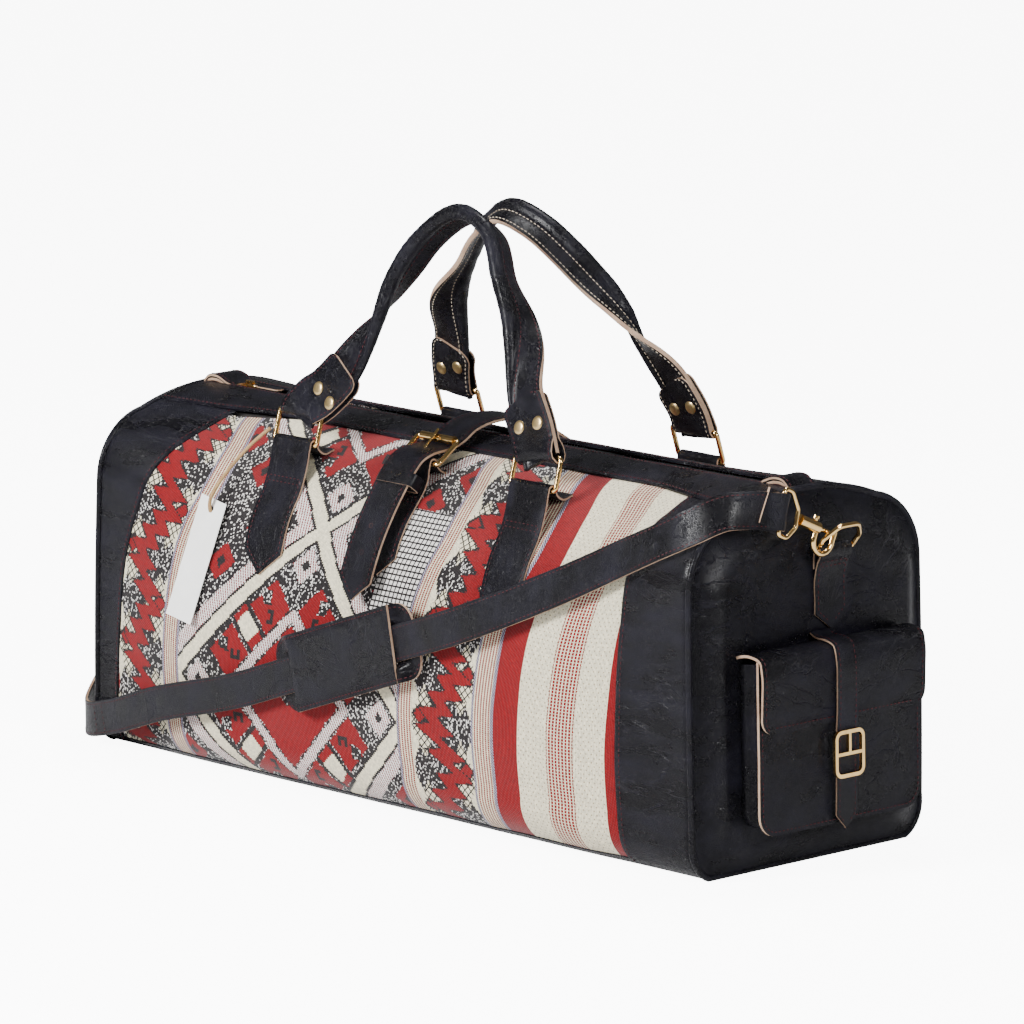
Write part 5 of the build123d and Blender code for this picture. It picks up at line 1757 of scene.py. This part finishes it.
@dataclass
class ShoulderStrap:
    """Long strap between the two hooks, with its sliding pad."""

    half: float = 14.5
    thick: float = 3.0
    route: tuple = (
        ((368.2, -55.8, 283.0), (1.0, -0.1, 0.0)), ((361.5, -78.0, 285.5), (0.9, -0.4, 0.2)),
        ((353.0, -97.0, 285.0), (0.6, -0.7, 0.4)), ((333.0, -113.0, 273.0), (0.25, -0.9, 0.35)),
        ((299.0, -121.0, 256.0), (0.0, -0.93, 0.3)), ((207.0, -135.0, 211.0), (0.0, -1.0, 0.12)),
        ((110.0, -150.5, 169.0), (0.0, -1.0, 0.0)), ((46.0, -150.5, 146.5), (0.0, -1.0, 0.0)),
        ((-16.0, -150.5, 124.7), (0.0, -1.0, 0.0)), ((-78.0, -150.5, 102.8), (0.0, -1.0, 0.0)),
        ((-140.0, -150.5, 81.0), (0.0, -1.0, 0.0)), ((-250.0, -148.0, 51.0), (0.0, -1.0, 0.0)),
        ((-310.0, -142.0, 31.0), (0.0, -1.0, 0.0)), ((-350.0, -133.0, 22.0), (-0.3, -0.95, 0.0)),
        ((-374.0, -113.0, 23.0), (-0.7, -0.7, 0.0)), ((-391.0, -84.0, 36.0), (-0.9, -0.4, 0.0)),
        ((-399.0, -50.0, 61.0), (-1.0, -0.1, 0.0)), ((-402.0, -20.0, 96.0), (-1.0, 0.0, 0.0)),
        ((-404.0, 0.0, 132.0), (-1.0, 0.0, 0.0)), ((-404.0, 12.0, 164.0), (-1.0, 0.0, 0.1)),
        ((-402.6, 12.0, 180.6), (-1.0, 0.0, 0.4)))
    hooks: tuple = (Hook((369.5, -37.7, 275.9), (0, 0.914, -0.405), (0, 0.2, 0.98)),
                    Hook((-395.6, 12.0, 195.8), (0.5, 0, 0.866), (0, 1, 0)))
    pad_middle: tuple = (-15.0, -150.5, 125.0)
    pad_along: tuple = (250.0, 0.0, 88.0)
    face_half: float = 62.0
    pad_half: float = 84.0
    pad_height: float = 31.0

    def build(self) -> None:
        """Build the strap, its folded ends and the pad."""
        points, faces = [p for p, f in self.route], [f for p, f in self.route]
        track = Track.through(points, faces, 620)
        sewing = Sewing(pitch=4.0)
        track = Track(track.points, -track.face) if track.face[300, 1] > 0 else track
        shapes = [ribbon(track, self.half, self.thick, 0.22, 6.0)]
        sewing.both_sides(track, self.half, 2.6, self.thick / 2)
        seam = int(np.searchsorted(track.s, track.length * 0.735))
        for back in (0, 7):
            sewing.crossing(track, seam + back, self.half - 3.0, self.thick / 2)
        shapes.append(self.fold(track.points[6], track.face[6], self.hooks[0]))
        shapes.append(self.fold(track.points[-7], track.face[-7], self.hooks[1]))
        make_object("shoulder_strap_leather", join(shapes), stock(*LEATHER_AND_EDGE),
                    replaces=["shoulder_strap"])
        sewing.finish("shoulder_strap_stitching", Finish.THREAD.material, "root")
        self.pad()

    def fold(self, start: Array, face: Array, hook: Hook) -> Shape:
        """Short length of strap that turns round the hook's bar and lies behind the strap."""
        middle, away, bar = hook.bar()
        normal = unit(np.cross(bar, away))
        normal = normal if normal @ face > 0 else -normal
        r = 3.4
        angle = np.linspace(np.pi / 2, -np.pi / 2, 13)
        turn = middle + r * (np.cos(angle)[:, None] * -away + np.sin(angle)[:, None] * normal)
        tail = [middle + away * d - normal * h for d, h in ((9, 3.3), (17, 3.4))]
        lead = [start + face * 0.6, (start + face * 0.6 + turn[0]) / 2 + normal * 0.4]
        line = smooth_line(np.concatenate([lead, turn, tail]), 60)
        track = Track(line, np.zeros((60, 3)) + np.cross(unit(np.gradient(line, axis=0)), bar))
        if track.face[2] @ face < 0:
            track = Track(line, -track.face)
        return ribbon(track, self.half - 0.4, 2.2)

    def place(self, x: Array, y: Array, out: Array) -> Array:
        """Points in space from places on the pad."""
        along = unit(np.array(self.pad_along))
        up = np.array([-along[2], 0.0, along[0]])
        x, y, out = np.broadcast_arrays(x, y, out)
        return (np.array(self.pad_middle) + x[..., None] * along + y[..., None] * up
                + out[..., None] * np.array([0.0, -1.0, 0.0]))

    def pad(self) -> None:
        """Pad: a broad face over the strap and a lug under it at each slot."""
        x = np.linspace(-self.face_half, self.face_half, 64)[:, None]
        y = np.linspace(-self.pad_height, self.pad_height, 34)[None]
        lean = 5.0 * (y / self.pad_height)
        x = x + lean * (x / self.face_half) ** 2 * 0.8

        def face(drop: float) -> Array:
            """Grid of the pad's face: slightly crowned, thinner at its edge."""
            crown = 1.1 * ease((self.pad_height - np.abs(y)) / 9)
            crown = crown * ease((self.face_half - np.abs(x)) / 10 + 0.4)
            flat = np.stack([x + 0 * y, y + 0 * x, 0 * x * y], axis=-1)
            return self.place(x + 0 * y, y + 0 * x, 4.1 + crown + 0.25 * ripple(flat, 70.0, 1.0) - drop)

        def under(x: Array, y: Array) -> Array:
            """Height of a lug: beneath the strap, and up at the sides of its slot."""
            return -2.4 + 6.0 * ease((np.abs(y) - 13.5) / 7.0) * (1 - ease((x - 60.0) / 15.0))

        shapes = [plate(face(0.0), face(2.3))]
        sewing = Sewing(pitch=3.9)
        edge = np.linspace(-self.face_half, self.face_half, 90)
        front = np.tile([0.0, -1.0, 0.0], (90, 1))
        for hand in (-1, 1):
            row = self.place(edge, np.full(90, hand * (self.pad_height - 3.0)), np.full(90, 4.75))
            sewing.row(row, front)
        for side in (-1, 1):
            t = np.linspace(0, 1, 26)[:, None]
            w = np.linspace(-1, 1, 41)[None]
            lx = 58.0 + (self.pad_half - 58.0) * t
            over = np.clip(lx - (self.pad_half - 17.0), 0, 17.0)
            tall = self.pad_height - (17.0 - np.sqrt(np.maximum(17.0**2 - over**2, 4.0)))
            ly = tall * w
            high = under(lx, ly)
            px = side * (lx + 0 * ly)
            shapes.append(plate(self.place(px, ly, high), self.place(px, ly, high - 2.2)))
            path_x = side * lx[:, 0]
            for hand in (-1, 1):
                row_y = hand * (tall[:, 0] - 3.0)
                row_high = under(lx[:, 0], row_y)
                sewing.row(self.place(path_x, row_y, row_high + 0.1)[2:-2], front[:22])
            end_y = np.linspace(-12, 12, 14)
            end_x = side * np.full(14, self.pad_half - 3.0)
            sewing.row(self.place(end_x, end_y, np.full(14, -2.3)), front[:14])
        make_object("shoulder_pad_leather", join(shapes), stock(Finish.END_LEATHER, Finish.CUT_EDGE),
                    "shoulder_pad", replaces=["shoulder_pad"])
        sewing.finish("shoulder_pad_stitching", Finish.THREAD.material, "shoulder_pad")


# ---------------------------------------------------------------- hang tag


@dataclass
class HangTag:
    """Blank card on a loop of raffia twine."""

    route: tuple = ((-167.5, -93.0, 283.0), (-177.0, -101.0, 273.0), (-188.0, -111.0, 257.0),
                    (-198.0, -121.0, 239.0), (-203.5, -129.0, 222.0), (-204.5, -125.0, 214.0))
    twine: float = 3.0
    length: float = 88.6

    def build(self) -> None:
        """Build the twine as a free cord and dress the card."""
        curve = bpy.data.curves.new("tag_twine", "CURVE")
        curve.dimensions = "3D"
        curve.bevel_depth = self.twine / 2 * MM
        curve.bevel_resolution = 3
        curve.use_fill_caps = True
        spline = curve.splines.new("NURBS")
        spline.points.add(len(self.route) - 1)
        for point, place in zip(spline.points, self.route):
            point.co = (*(c * MM for c in place), 1.0)
        spline.order_u = 3
        spline.use_endpoint_u = True
        spline.resolution_u = 12
        curve.materials.append(Finish.TWINE.material)
        twine = bpy.data.objects.new("tag_twine", curve)
        bpy.context.scene.collection.objects.link(twine)
        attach(twine, "root")
        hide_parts("tag_string")
        dress(Finish.CARD, "hang_tag")
        [c * MM for c in self.route[0]]
        log.info("tag_twine: %d control points", len(self.route))


# ---------------------------------------------------------------- studio


@dataclass
class Studio:
    """Camera, pale floor and soft light."""

    distance: float = 6000.0
    azimuth: float = math.radians(46.6)
    elevation: float = math.radians(10.6)
    focal: float = 263.7
    aim_height: float = 150.0
    aim_right: float = 11.8
    raise_by: float = 73.9
    glow: float = 9.0
    ambient: float = 0.11
    lamps: tuple = (("key", (-0.6, -3.0, 1.7), 1.0, 235.0), ("right_fill", (2.9, -0.4, 1.5), 0.7, 75.0),
                    ("top", (-0.3, 0.5, 2.6), 0.9, 62.0))

    def camera(self) -> None:
        """Long lens from the front right, a little above the bag."""
        a, e = self.azimuth, self.elevation
        back = Vector((math.sin(a) * math.cos(e), -math.cos(a) * math.cos(e), math.sin(e)))
        up = Vector((-math.sin(a) * math.sin(e), math.cos(a) * math.sin(e), math.cos(e)))
        data = bpy.data.cameras.new("camera")
        data.lens = self.focal
        data.sensor_width = 36.0
        data.clip_end = 60.0
        camera = bpy.data.objects.new("camera", data)
        right = up.cross(back)
        target = (Vector((0, 0, self.aim_height)) + right * self.aim_right + up * self.raise_by) * MM
        rotation = Matrix((right, up, back)).transposed().to_4x4()
        camera.matrix_world = Matrix.Translation(target + back * self.distance * MM) @ rotation
        bpy.context.scene.collection.objects.link(camera)
        bpy.context.scene.camera = camera

    def floor(self) -> None:
        """Wide pale floor."""
        x, y = np.meshgrid(np.linspace(-9, 9, 13), np.linspace(-9, 9, 13), indexing="ij")
        mesh = bpy.data.meshes.new("floor")
        points = np.stack([x, y, 0 * x - 0.0002], axis=-1).reshape(-1, 3)
        mesh.from_pydata(points.tolist(), [], grid_faces(13, 13)[:, ::-1].tolist())
        material, shader = principled("pale_floor", Roughness=0.85, Specular_IOR_Level=0.1)
        tree = material.node_tree
        cloud = noise(tree, object_vector(tree), 0.8, 2.0)
        tree.links.new(mix(tree, cloud, rgb(0.80, 0.80, 0.82), rgb(0.84, 0.84, 0.85)),
                       shader.inputs["Base Color"])
        seen = Field(tree, tree.nodes.new("ShaderNodeLightPath").outputs["Is Camera Ray"]) * self.glow
        shader.inputs["Emission Color"].default_value = rgb(1.0, 1.0, 1.0)
        tree.links.new(seen.socket, shader.inputs["Emission Strength"])
        mesh.materials.append(material)
        floor = bpy.data.objects.new("floor", mesh)
        bpy.context.scene.collection.objects.link(floor)

    def light(self, name: str, place: Sequence[float], size: float, power: float) -> None:
        """Square soft light aimed at the bag."""
        data = bpy.data.lights.new(name, "AREA")
        data.shape = "SQUARE"
        data.size = size
        data.energy = power
        lamp = bpy.data.objects.new(name, data)
        position = Vector(place)
        lamp.matrix_world = (Matrix.Translation(position)
                             @ (position - Vector((0, 0, 0.15))).to_track_quat("Z", "Y").to_matrix().to_4x4())
        bpy.context.scene.collection.objects.link(lamp)

    def build(self) -> None:
        """Build the studio."""
        self.camera()
        self.floor()
        world = bpy.data.worlds.new("studio")
        world.use_nodes = True
        world.node_tree.nodes["Background"].inputs["Color"].default_value = rgb(1.0, 1.0, 1.0)
        world.node_tree.nodes["Background"].inputs["Strength"].default_value = self.ambient
        bpy.context.scene.world = world
        for lamp in self.lamps:
            self.light(*lamp)


def main() -> None:
    """Build the studio and the twine, then the rest of the bag around the frame."""
    logging.basicConfig(level=logging.INFO, format="%(name)s %(message)s")
    Studio().build()
    HangTag().build()
    Body().build()
    for front, word, apex, line, rivets in (
            (-1, "front", (8.0, -42.0, 462.0), FRONT_ARCH, ((-119, 46), (-103, 36), (115, 44), (134, 50))),
            (1, "rear", (6.0, 28.0, 470.0), REAR_ARCH, ((-145, 44), (-125, 47), (126, 44), (145, 48)))):
        for side, hand in ((-1, "left"), (1, "right")):
            RingTab(f"{word}_{hand}_ring_tab", side * 138.0, front).build()
            dress(Finish.BRASS, f"{word}_{hand}_ring")
        Handle(word, front, apex, line, rivets).build()
    Closure().build()
    for side, hand in ((-1, "left"), (1, "right")):
        EndPocket(side, hand).build()
    ShoulderStrap().build()


if __name__ == "__main__":
    main()
